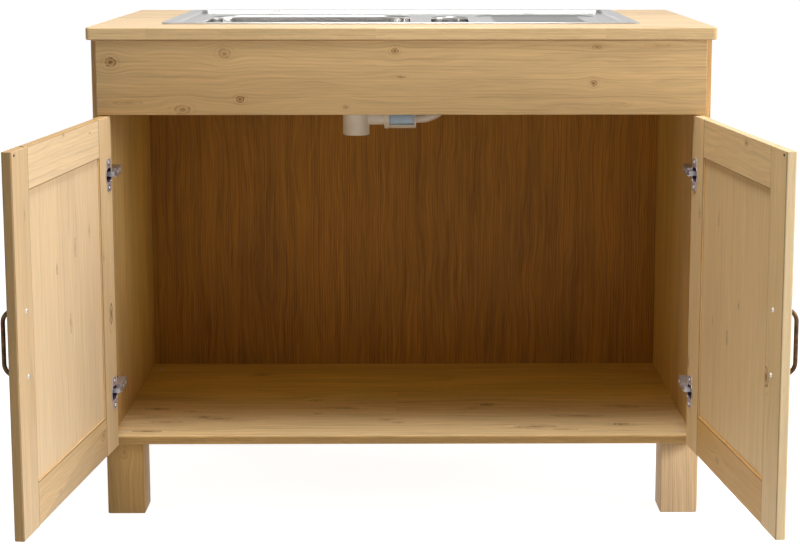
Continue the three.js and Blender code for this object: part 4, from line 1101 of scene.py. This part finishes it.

# %% [markdown]
# The concealed hinges. The arms and plates keep their solids with their edges rounded: the arms
# are pale and the plates dark. The cup is pressed sheet, turned round, with a notch cut for the
# arm. It is two pieces: its hollow is painted dark as painted shade, and its flange with two ears
# is pale. The flange's screws sit in dark rings of painted shade, which are what shows of them
# from a step away.

# %% Hinges
EAR_LENGTH = 58 * MM
EAR_HALF_WIDTH = 12.5 * MM
NOTCH_LENGTH = 25 * MM
NOTCH_DEPTH = 6.4 * MM
NOTCH_HALF_WIDTH = 5 * MM
SHEET = 1.2 * MM
for hand, place in doors.items():
    for level in ("lower", "upper"):
        name = f"{hand}_{level}_hinge"
        low, high = extent(f"{name}_cup", place)
        middle = (low + high) / 2
        rim, floor = high.y, low.y
        outer, inner, flange = 17.3 * MM, 16.3 * MM, 18 * MM
        below = rim - SHEET
        cup = [(0, floor), (outer, floor), (outer, below), (inner, below), (inner, floor + MM)]
        cup.append((0, floor + MM))
        lip = closed([(inner, below), (flange, below), (flange, rim), (inner, rim)])
        to_depth = Matrix.Rotation(-math.pi / 2, 4, "X")
        towards_pin = -1 if middle.x > 0 else 1
        ends = sorted((middle.x, middle.x + towards_pin * NOTCH_LENGTH))
        notch_low = (ends[0], rim - NOTCH_DEPTH, middle.z - NOTCH_HALF_WIDTH)
        notch_high = (ends[1], rim + MM, middle.z + NOTCH_HALF_WIDTH)
        pressings = []
        for section in (cup, lip):
            bm = bmesh.new()
            turn(bm, section, Matrix.Translation((middle.x, 0, middle.z)) @ to_depth, 64)
            ease(bm, 0.35 * MM)
            bm.normal_update()
            cutter = bmesh.new()
            box(cutter, notch_low, notch_high)
            pressings.append(cut(bm, cutter))
        # The cup's hollow is painted dark: painted shade inside the cup.
        bm = pressings[0]
        bmesh.ops.transform(bm, matrix=place, verts=bm.verts)
        cup_name = f"{name}_cup"
        finished(bm, f"{cup_name}_pressing", f"{hand}_door", dark_steel_and_shade, [cup_name])
        bm = pressings[1]
        for end in (-1, 1):
            ear_low = (middle.x - EAR_HALF_WIDTH, rim - SHEET, middle.z + end * 12.5 * MM)
            ear_high = (middle.x + EAR_HALF_WIDTH, rim - 0.08 * MM, middle.z + end * EAR_LENGTH / 2)
            ear = bmesh.new()
            corners = [sorted(pair) for pair in zip(ear_low, ear_high)]
            box(ear, [c[0] for c in corners], [c[1] for c in corners])
            tips = [
                e
                for e in ear.edges
                if abs(e.verts[0].co.x - e.verts[1].co.x) < 1e-6
                and abs(e.verts[0].co.z - e.verts[1].co.z) < 1e-6
                and abs(e.verts[0].co.z - middle.z) > 20 * MM
            ]
            bmesh.ops.bevel(
                ear, geom=tips, offset=6 * MM, affect="EDGES", segments=8, profile=0.5, material=-1
            )
            ease(ear, 0.3 * MM)
            mesh = bpy.data.meshes.new("ear")
            ear.to_mesh(mesh)
            ear.free()
            bm.from_mesh(mesh)
            bpy.data.meshes.remove(mesh)
        bmesh.ops.transform(bm, matrix=place, verts=bm.verts)
        finished(bm, f"{name}_cup_flange", f"{hand}_door", hinge_steel)

        feet = [Vector((middle.x, rim - 0.1 * MM, middle.z + end * 22.5 * MM)) for end in (-1, 1)]
        spots = [facing(place @ foot, inward(place)) for foot in feet]
        # Dark rings round the flange's screw heads: painted shade.
        bm = bmesh.new()
        for spot in spots:
            shade_ring = [(3.2, 0), (4.9, 0), (4.9, 0.35), (3.2, 0.35)]
            turn(bm, closed(in_mm(shade_ring)), spot, 32)
        finished(bm, f"{name}_cup_shade_rings", f"{hand}_door", dark_steel_and_shade)
        screws(f"{name}_cup_screws", f"{hand}_door", 3.3 * MM, 1.9 * MM, spots)
        dress(f"{name}_arm", arm_steel, 0.5 * MM)
        dress(f"{name}_plate", dark_steel_and_shade, 0.5 * MM)
        dress(f"{name}_pin", screw_steel)

        low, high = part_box(f"{name}_plate")
        side = SIDES[hand]
        wall = high.x if side > 0 else low.x
        middle = (low + high) / 2
        wing = wall - side * 2.5 * MM
        across = (-side, 0, 0)
        spots = [facing((wing, middle.y, middle.z + end * 18 * MM), across) for end in (-1, 1)]
        screws(f"{name}_plate_screws", "cabinet", 4.2 * MM, 1.8 * MM, spots)
        low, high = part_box(f"{name}_arm")
        crown = low.x if side > 0 else high.x
        spots = [facing((crown, high.y - back * MM, middle.z), across) for back in (13, 38)]
        screws(f"{name}_arm_screws", "cabinet", 3.4 * MM, 1.2 * MM, spots)

# %% [markdown]
# The sink is one pressing. It is drawn as rings: each ring is a circle whose four quarters have
# been moved apart, so that it becomes a rectangle with round corners. Rings with the same count
# of points are bridged into walls and fillets, the deck is filled between the rings of its
# hollows, and the sheet gets its thickness at the end.


# %% Sink rings
QUARTER = 14  # points in each quarter of a ring


def ring(bm, left, right, front, rear, corner, height):
    """A rectangle with round corners, as a loop of edges."""
    half_step = math.pi / 4 / QUARTER
    radius = corner / math.cos(half_step)
    made = bmesh.ops.create_circle(bm, cap_ends=False, radius=radius, segments=4 * QUARTER)["verts"]
    bmesh.ops.rotate(bm, cent=(0, 0, 0), matrix=Matrix.Rotation(half_step, 3, "Z"), verts=made)
    for v in made:
        x = right - corner if v.co.x > 0 else left + corner
        y = rear - corner if v.co.y > 0 else front + corner
        v.co += Vector((x, y, height))
    return list({e for v in made for e in v.link_edges})


def bridged(bm, rings):
    for first, second in zip(rings, rings[1:]):
        bmesh.ops.bridge_loops(bm, edges=first + second)


def fillet(start, end, count=6):
    """Points of a quarter round from (inset, height) to (inset, height), as (inset, height)."""
    points = []
    for i in range(count + 1):
        angle = math.pi / 2 * i / count
        inset = start[0] + (end[0] - start[0]) * math.sin(angle)
        height = end[1] + (start[1] - end[1]) * math.cos(angle)
        points.append((inset, height))
    return points


def rings_of(bm, plan, corner, steps):
    """Rings of one plan, each inset from it by the first number of a step, at its height."""
    left, right, front, rear = plan
    made = []
    for inset, height in steps:
        sides = (left + inset, right - inset, front + inset, rear - inset)
        made.append(ring(bm, *sides, max(corner - inset, 0.5 * MM), height))
    return made


# %% [markdown]
# The sink has a rolled rim, a deck that lies lower, two bowls and a drainer. Each is a list of
# steps, as how far a ring lies inside its plan and how high, from the outside in. The steps lie
# close together where the sheet bends, so that the bends shade as bends and the flats stay flat.


# %% Sink
def middle_of(node):
    low, high = extent(node)
    return (low + high) / 2


low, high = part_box("sink")
sink_left, sink_right, sink_front, sink_rear = low.x, high.x, low.y, high.y
rim_top = high.z
deck_top = DECK_LEVEL
waste_x, bowl_middle, _ = middle_of("waste_flange")
small_x = middle_of("small_waste").x
MAIN_DEPTH = 156 * MM
SMALL_DEPTH = 36 * MM
DRAINER_DEPTH = 1.5 * MM
main_floor = deck_top - MAIN_DEPTH
small_floor = deck_top - SMALL_DEPTH
drainer_floor = deck_top - DRAINER_DEPTH
fall = 0.02 * MM  # two rings at one level would be bridged with a twist


def hollow_plan(left, width, length):
    return left, left + width, bowl_middle - length / 2, bowl_middle + length / 2


def hollow(plan, corner, steps):
    """The walls of a bowl or of the drainer, and their rings."""
    rings = rings_of(bm, plan, corner, steps)
    bridged(bm, rings)
    return rings


bm = bmesh.new()
outer_steps = [(0.4 * MM, rim_top - 2.8 * MM), (0, rim_top - 2.2 * MM), (0, rim_top - 1.2 * MM)]
outer_steps += [(0.35 * MM, rim_top - 0.35 * MM), (1.4 * MM, rim_top), (1.9 * MM, rim_top - fall)]
inner_steps = [(20.0 * MM, rim_top - 0.18 * MM), (20.5 * MM, rim_top - 0.2 * MM)]
inner_steps += [(21.6 * MM, rim_top - 0.6 * MM), (22.4 * MM, rim_top - 1.8 * MM)]
inner_steps += [(23.0 * MM, deck_top + 1.8 * MM), (23.8 * MM, deck_top + 0.5 * MM)]
inner_steps += [(25.4 * MM, deck_top + fall), (26.4 * MM, deck_top)]
sink_plan = (sink_left, sink_right, sink_front, sink_rear)
edge_rings = rings_of(bm, sink_plan, 10 * MM, outer_steps)
inner_rings = rings_of(bm, sink_plan, 40 * MM, inner_steps)
bridged(bm, edge_rings + inner_rings)

main_plan = hollow_plan(sink_left + 57 * MM, 390 * MM, 330 * MM)
main_steps = [(-4 * MM, deck_top)]
main_steps += fillet((-3 * MM, deck_top - fall), (0, deck_top - 3 * MM), 4)
main_steps += [(0.02 * MM, deck_top - 4 * MM), (1.5 * MM, main_floor + 32 * MM)]
main_steps += [(1.6 * MM, main_floor + 26 * MM)]
main_steps += [
    (1.6 * MM + 26 * MM * (1 - math.cos(a)), main_floor + 26 * MM * (1 - math.sin(a)))
    for a in (math.pi / 2 * i / 7 for i in range(1, 8))
]
main_steps.append((28.6 * MM, main_floor - fall))
main_rings = hollow(main_plan, 62 * MM, main_steps)

small_plan = hollow_plan(sink_left + 487 * MM, 72 * MM, 250 * MM)
small_steps = [(-3.5 * MM, deck_top)]
small_steps += fillet((-2.5 * MM, deck_top - fall), (0, deck_top - 2.5 * MM), 4)
small_steps += [(0.02 * MM, deck_top - 3.3 * MM), (0.27 * MM, small_floor + 18 * MM)]
small_steps += [(0.3 * MM, small_floor + 16 * MM)]
small_steps += [
    (0.3 * MM + 16 * MM * (1 - math.cos(a)), small_floor + 16 * MM * (1 - math.sin(a)))
    for a in (math.pi / 2 * i / 6 for i in range(1, 7))
]
small_steps.append((17.1 * MM, small_floor - fall))
small_rings = hollow(small_plan, 35 * MM, small_steps)

drainer_plan = hollow_plan(sink_left + 576 * MM, 232 * MM, 340 * MM)
drainer_steps = [(-2.5 * MM, deck_top), (-1.5 * MM, deck_top - fall)]
drainer_steps.append((-0.6 * MM, deck_top - 0.3 * MM))
drainer_steps += [(0.6 * MM, drainer_floor + 0.3 * MM), (1.5 * MM, drainer_floor)]
drainer_steps.append((2.5 * MM, drainer_floor - fall))
drainer_rings = hollow(drainer_plan, 40 * MM, drainer_steps)


def fill(edges):
    bmesh.ops.triangle_fill(bm, use_beauty=True, use_dissolve=False, edges=edges)


def outlet(floor_ring, x, radius, height):
    """Fills the floor of a bowl round the hole of its waste."""
    hole = bmesh.ops.create_circle(bm, cap_ends=False, radius=radius, segments=48)["verts"]
    bmesh.ops.translate(bm, vec=(x, bowl_middle, height), verts=hole)
    fill(floor_ring + list({e for v in hole for e in v.link_edges}))


fill(inner_rings[-1] + main_rings[0] + small_rings[0] + drainer_rings[0])
outlet(main_rings[-1], waste_x, 43 * MM, main_floor - fall)
outlet(small_rings[-1], small_x, 14 * MM, small_floor - fall)
fill(drainer_rings[-1])
bmesh.ops.recalc_face_normals(bm, faces=bm.faces)
top_faces = [f for f in bm.faces if f.calc_center_median().z > rim_top - 0.01 * MM]
if top_faces and sum(f.normal.z for f in top_faces) < 0:
    bmesh.ops.reverse_faces(bm, faces=bm.faces)
sink = finished(bm, "sink_pressing", "cabinet", sink_steel, ["sink"], crease=50)
sheet = sink.modifiers.new("sheet", "SOLIDIFY")
sheet.thickness = 0.9 * MM
sheet.offset = -1
print("sink faces:", len(sink.data.polygons))

# %% [markdown]
# The drainer's ribs are pressed up from its floor. Each is a stretched sphere: the two halves
# are pulled apart, and it is sunk in the floor until only a low cap shows, so that no side of a
# rib is steep enough to mirror the lamp overhead.

# %% Drainer ribs
RIBS = 7
RIB_MARGIN = 34 * MM
RIB_HALF_WIDTH = 7 * MM
RIB_HEIGHT = 3 * MM
RIB_SUNK = 1.9 * MM
bm = bmesh.new()
left, right, front, rear = drainer_plan
pitch = (rear - front - 2 * RIB_MARGIN) / (RIBS - 1)
for i in range(RIBS):
    made = bmesh.ops.create_uvsphere(bm, u_segments=24, v_segments=13, radius=1)["verts"]
    bmesh.ops.rotate(bm, cent=(0, 0, 0), matrix=Matrix.Rotation(math.pi / 2, 3, "Y"), verts=made)
    bmesh.ops.scale(bm, vec=(RIB_HALF_WIDTH, RIB_HALF_WIDTH, RIB_HEIGHT), verts=made)
    for v in made:
        v.co.x += (right - RIB_MARGIN if v.co.x > 0 else left + RIB_MARGIN)
    middle = (0, front + RIB_MARGIN + i * pitch, drainer_floor - RIB_SUNK)
    bmesh.ops.translate(bm, vec=middle, verts=made)
bmesh.ops.bisect_plane(
    bm,
    geom=bm.verts[:] + bm.edges[:] + bm.faces[:],
    plane_co=(0, 0, drainer_floor - 0.5 * MM),
    plane_no=(0, 0, -1),
    clear_outer=True,
)
finished(bm, "drainer_ribs", "cabinet", sink_steel)

# %% [markdown]
# The waste of the main bowl and the strainer that lifts out of it. Both are turned from half a
# section, as a lathe would, and their holes are cut through afterwards. A spigot and a cross of
# thin ribs are added to the plastic body.


# %% Waste and strainer
def upright(x, y):
    return Matrix.Translation((x, y, 0))


def heights(node):
    low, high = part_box(node)
    return low.z, high.z


def holes(cutter, circle, count, radius, floor, steps):
    """Cylinders on a circle round the waste, to cut holes with through a thin floor."""
    low, high = floor - MM, floor + 2 * MM
    for i in range(count):
        angle = 2 * math.pi * i / count
        y = bowl_middle + circle * math.sin(angle)
        hole = upright(waste_x + circle * math.cos(angle), y)
        turn(cutter, [(0, low), (radius, low), (radius, high), (0, high)], hole, steps)


spot = upright(waste_x, bowl_middle)
cup_floor, flange_top = heights("waste_flange")
bm = bmesh.new()
section = [
    (56, main_floor / MM + 0.25),
    (55.2, main_floor / MM + 1.1),
    (44, flange_top / MM),
    (41.6, flange_top / MM - 0.6),
    (41, flange_top / MM - 2),
    (41, cup_floor / MM + 3),
    (39, cup_floor / MM + 1),
    (3, cup_floor / MM + 1),
    (3, cup_floor / MM),
    (39.5, cup_floor / MM),
    (42, cup_floor / MM + 2.4),
    (42, main_floor / MM + 0.25),
]
turn(bm, closed(in_mm(section)), spot, 64)
cutter = bmesh.new()
holes(cutter, 25 * MM, 6, 8 * MM, cup_floor, 24)
bm = cut(bm, cutter)
finished(bm, "waste_flange_pressing", "cabinet", bright_steel, ["waste_flange"])

head = 2.5 * MM
head_spot = spot @ Matrix.Translation((0, 0, heights("waste_screw")[1] - head))
screws("waste_screw_head", "cabinet", 6 * MM, head, [head_spot])
dress("waste_screw", bright_steel)

body_low, body_high = heights("waste_body")
shoulder = cup_floor - 6 * MM
section = [
    (56, body_high / MM),
    (44, body_high / MM),
    (43.5, shoulder / MM + 2.5),
    (22.5, shoulder / MM - 2.5),
    (22.5, body_low / MM),
    (24.5, body_low / MM),
    (25.5, body_low / MM + 3),
    (25.5, shoulder / MM - 5),
    (46, shoulder / MM),
    (46, body_high / MM - 4),
    (56, body_high / MM - 4),
]
bm = bmesh.new()
turn(bm, closed(in_mm(section)), spot, 64)
ease(bm, 0.6 * MM)
pipe_low, pipe_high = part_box("link_pipe")
axis_z = (pipe_low.z + pipe_high.z) / 2
tube(bm, (waste_x + 23 * MM, bowl_middle, axis_z), (1, 0, 0), 12 * MM, [(6 * MM,)], 32)
tube(bm, (waste_x + 29 * MM, bowl_middle, axis_z), (-1, 0, 0), 10 * MM, [(6 * MM,)], 32)
finished(bm, "waste_body_moulding", "cabinet", white_plastic, ["waste_body"])
bm = bmesh.new()
for angle in (0, math.pi / 2):
    made = box(bm, (-44.5 * MM, -2 * MM, shoulder), (44.5 * MM, 2 * MM, cup_floor - 0.25 * MM))
    bmesh.ops.rotate(bm, cent=(0, 0, 0), matrix=Matrix.Rotation(angle, 3, "Z"), verts=made)
bmesh.ops.transform(bm, matrix=spot, verts=bm.verts)
finished(bm, "waste_body_cross", "cabinet", white_plastic)

sieve, knob_top = heights("strainer")
rest = flange_top + 0.25 * MM
section = [
    (0, sieve),
    (37, sieve),
    (39, sieve + 1.4 * MM),
    (39, rest),
    (46, rest),
    (46, rest + 0.7 * MM),
    (38.4, rest + MM),
    (38, rest - MM),
    (38, sieve + 2 * MM),
    (36.6, sieve + MM),
    (3, sieve + MM),
    (2.6, sieve + 3 * MM),
    (2.6, knob_top - 4 * MM),
    (6.2, knob_top - 3.6 * MM),
    (7, knob_top - 2.4 * MM),
    (6.4, knob_top - 0.8 * MM),
    (4, knob_top),
    (0, knob_top),
]
bm = bmesh.new()
turn(bm, [(r * MM, z) for r, z in section], spot, 64)
cutter = bmesh.new()
for circle, count in ((14, 6), (26, 10), (33, 14)):
    holes(cutter, circle * MM, count, 2.6 * MM, sieve, 16)
bm = cut(bm, cutter)
finished(bm, "strainer_basket", "bowl_strainer", bright_steel, ["strainer"])

# %% [markdown]
# The link to the small bowl: a pipe with a ribbed collar to grip, a pale blue sleeve, the cradle
# that holds it and an elbow that rises to the bowl. They are turned along one axis, the cradle
# is cut open above, and the elbow is one tube inside another, joined at both ends.


# %% Link to the small bowl
def along_x(x):
    """A place whose z axis runs along the link, from x."""
    return Matrix.Translation((x, bowl_middle, axis_z)) @ Matrix.Rotation(math.pi / 2, 4, "Y")


GRIPS = 24
bm = bmesh.new()
section = [(10, 0), (12, 0), (12, 24.4), (13, 25), (18.4, 25)]
section += [(19, 25.8), (19, 34.2), (18.4, 35), (10, 35)]
turn(bm, closed(in_mm(section)), along_x(pipe_low.x), 48)
for i in range(GRIPS):
    angle = 2 * math.pi * i / GRIPS
    grip = box(bm, (18.4 * MM, -0.7 * MM, 26.5 * MM), (19.4 * MM, 0.7 * MM, 33.5 * MM))
    bmesh.ops.transform(bm, matrix=along_x(pipe_low.x) @ Matrix.Rotation(angle, 4, "Z"), verts=grip)
finished(bm, "link_pipe_turned", "cabinet", white_plastic, ["link_pipe"])

low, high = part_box("link_sleeve")
bm = bmesh.new()
length = (high.x - low.x) / MM
section = [(12.5, 0), (15.5, 0), (15.5, length), (12.5, length)]
turn(bm, closed(in_mm(section)), along_x(low.x), 48)
ease(bm, 0.5 * MM)
finished(bm, "link_sleeve_turned", "cabinet", blue_plastic, ["link_sleeve"])

low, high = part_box("link_cradle")
bm = bmesh.new()
length = (high.x - low.x) / MM
section = [(15.75, 0), (18.75, 0), (18.75, length)]
section += [(7, length), (7, length - 3), (15.75, length - 3)]
turn(bm, closed(in_mm(section)), along_x(low.x), 48)
cutter = bmesh.new()
open_low = (low.x - MM, low.y - MM, low.z + 7.6 * MM)
box(cutter, open_low, (high.x - 3 * MM, high.y + MM, axis_z + 30 * MM))
bm = cut(bm, cutter)
ease(bm, 0.4 * MM)
finished(bm, "link_cradle_moulding", "cabinet", white_plastic, ["link_cradle"])

low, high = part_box("link_elbow")
ELBOW_RADIUS = 8.5 * MM
ELBOW_WALL = 1.5 * MM
ELBOW_RUN = 8 * MM  # straight, before the bend
bend = small_x - low.x - ELBOW_RUN
centre = (low.x + ELBOW_RUN, bowl_middle, axis_z + bend)
route = [(ELBOW_RUN,), (centre, (0, -1, 0), math.pi / 2), (high.z - axis_z - bend,)]
bm = bmesh.new()
outside, inside = (
    tube(bm, (low.x, bowl_middle, axis_z), (1, 0, 0), radius, route, 32)
    for radius in (ELBOW_RADIUS, ELBOW_RADIUS - ELBOW_WALL)
)
for end in (0, -1):
    bmesh.ops.bridge_loops(bm, edges=outside[end] + inside[end])
bmesh.ops.recalc_face_normals(bm, faces=bm.faces)
finished(bm, "link_elbow_tube", "cabinet", white_plastic, ["link_elbow"])

# %% [markdown]
# The waste of the small bowl is one turned piece with a shoulder in it. Its rubber plug hangs
# from its own flange and has a knob to lift it by. Last come the seal and clips under the rim,
# which keep their solids.

# %% Small waste and plug
small_spot = upright(small_x, bowl_middle)
low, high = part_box("small_waste")
foot, top = low.z, high.z
flange = (high.x - low.x) / 2 / MM
section = [
    (flange, top - MM),
    (flange - 0.6, top - 0.2 * MM),
    (12.2, top),
    (11, top - MM),
    (11, foot + 3 * MM),
    (7, foot + 3 * MM),
    (7, foot),
    (13, foot),
    (13, top - MM),
]
bm = bmesh.new()
turn(bm, closed([(r * MM, z) for r, z in section]), small_spot, 48)
finished(bm, "small_waste_turned", "cabinet", bright_steel, ["small_waste"])

low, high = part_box("small_plug")
rest = top + 0.25 * MM
edge = (high.x - low.x) / 2 / MM
section = [
    (0, low.z),
    (9.4, low.z),
    (10, low.z + MM),
    (10, rest),
    (edge, rest),
    (edge - 0.3, rest + 1.3 * MM),
    (edge - 1.6, rest + 2 * MM),
    (4, rest + 2 * MM),
    (3, rest + 3 * MM),
    (3, high.z - 4.4 * MM),
    (4.6, high.z - 3.4 * MM),
    (5, high.z - 2.2 * MM),
    (4.4, high.z - 0.6 * MM),
    (3, high.z),
    (0, high.z),
]
bm = bmesh.new()
turn(bm, [(r * MM, z) for r, z in section], small_spot, 48)
finished(bm, "small_plug_moulding", "bowl_plug", black_rubber, ["small_plug"])

dress("sink_seal", black_rubber)
for row in ("front", "rear"):
    for hand in SIDES:
        dress(f"sink_clip_{row}_{hand}", hinge_steel, 0.4 * MM)

# %% [markdown]
# Small things that the solids leave out: the felt stops on the doors and the screws that hold
# the bottom board to the legs.

# %% Small fittings
for hand, place in doors.items():
    low, high = extent(f"{hand}_free_stile", place)
    outward = 1 if hand == "left" else -1
    free = high.x if outward > 0 else low.x
    bm = bmesh.new()
    section = [(0, 0), (1.9, 0), (1.9, 0.9), (1.5, 1.4), (0, 1.6)]
    stop = place @ Vector((free - outward * 11 * MM, high.y, high.z - 6 * MM))
    turn(bm, in_mm(section), facing(stop, inward(place)), 24)
    finished(bm, f"{hand}_door_stop", f"{hand}_door", black_rubber)

low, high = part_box("bottom_panel")
spots = [
    facing((side * 505 * MM, y, high.z - 0.4 * MM), (0, 0, 1))
    for side in (-1, 1)
    for y in (low.y + 30 * MM, high.y - 110 * MM)
]
screws("bottom_screws", "cabinet", 3.8 * MM, 1 * MM, spots)

# %% [markdown]
# The studio. The floor and the world look white to the camera and in reflections, but light the
# piece at a plain level. Two soft lamps make the light of the photograph: one hangs overhead and
# lights the worktop and the front of the bottom board, and one stands low at the right and lights
# the left door through the opening. Steel needs something dark to mirror, so the ceiling falls
# off to grey in reflections. Two weak lamps behind keep the back and the sides readable.

# %% Floor, lamps and world
SKY_LEVEL = 0.18
DARK_CEILING = 0.25
FLOOR_GLOW = 0.905
LAMPS = {  # place, target, size, watts
    "overhead": ((0.0, -0.4, 3.0), (0.0, -0.35, 0.5), 1.0, 53),
    "side": ((2.8, -1.2, 1.25), (-0.2, -0.2, 0.5), 1.5, 66),
    "front": ((0.0, -1.6, 2.7), (0.0, 0.1, 0.5), 1.6, 4),
    "rear_left": ((-3.0, 2.6, 0.8), (0.0, 0.5, 0.4), 1.4, 24),
    "rear_right": ((3.0, 2.6, 0.8), (0.0, 0.5, 0.4), 1.4, 24),
}

bm = bmesh.new()
bmesh.ops.create_grid(bm, x_segments=1, y_segments=1, size=30)
mesh = bpy.data.meshes.new("floor")
bm.to_mesh(mesh)
bm.free()
floor = bpy.data.objects.new("floor", mesh)
floor.location.z = -0.5 * MM
scene.collection.objects.link(floor)
material, tree, shader = principled("floor")
shader.inputs["Base Color"].default_value = (0.5, 0.5, 0.5, 1)
shader.inputs["Roughness"].default_value = 0.9
path = add(tree, "LightPath").outputs
seen = calc(tree, "MAXIMUM", path["Is Camera Ray"], path["Is Glossy Ray"])
glow = times(tree, seen, FLOOR_GLOW)
shader.inputs["Emission Color"].default_value = (1, 1, 1, 1)
tree.links.new(glow, shader.inputs["Emission Strength"])
floor.data.materials.append(material)

world = bpy.data.worlds.new("studio")
scene.world = world
world.use_nodes = True
tree = world.node_tree
path = add(tree, "LightPath").outputs
up = parts(tree, add(tree, "TexCoord").outputs["Generated"])[2]
ceiling = span(tree, up, 0.12, 0.6, 1.0, DARK_CEILING)
mirrored_white = calc(tree, "MAXIMUM", path["Is Glossy Ray"], path["Is Transmission Ray"])
level = times(tree, mirrored_white, ceiling)
level = calc(tree, "MAXIMUM", level, path["Is Camera Ray"])
level = calc(tree, "MAXIMUM", level, SKY_LEVEL)
tree.links.new(level, tree.nodes["Background"].inputs["Strength"])
tree.nodes["Background"].inputs["Color"].default_value = (1, 1, 1, 1)


def lamp(name, place, target, size, power):
    light = bpy.data.lights.new(name, "AREA")
    light.energy = power
    light.shape = "DISK"
    light.size = size
    holder = bpy.data.objects.new(name, light)
    holder.location = place
    aim = Vector(target) - Vector(place)
    holder.rotation_euler = aim.to_track_quat("-Z", "Y").to_euler()
    scene.collection.objects.link(holder)


for name, settings in LAMPS.items():
    lamp(name, *settings)
scene.view_settings.view_transform = "Standard"
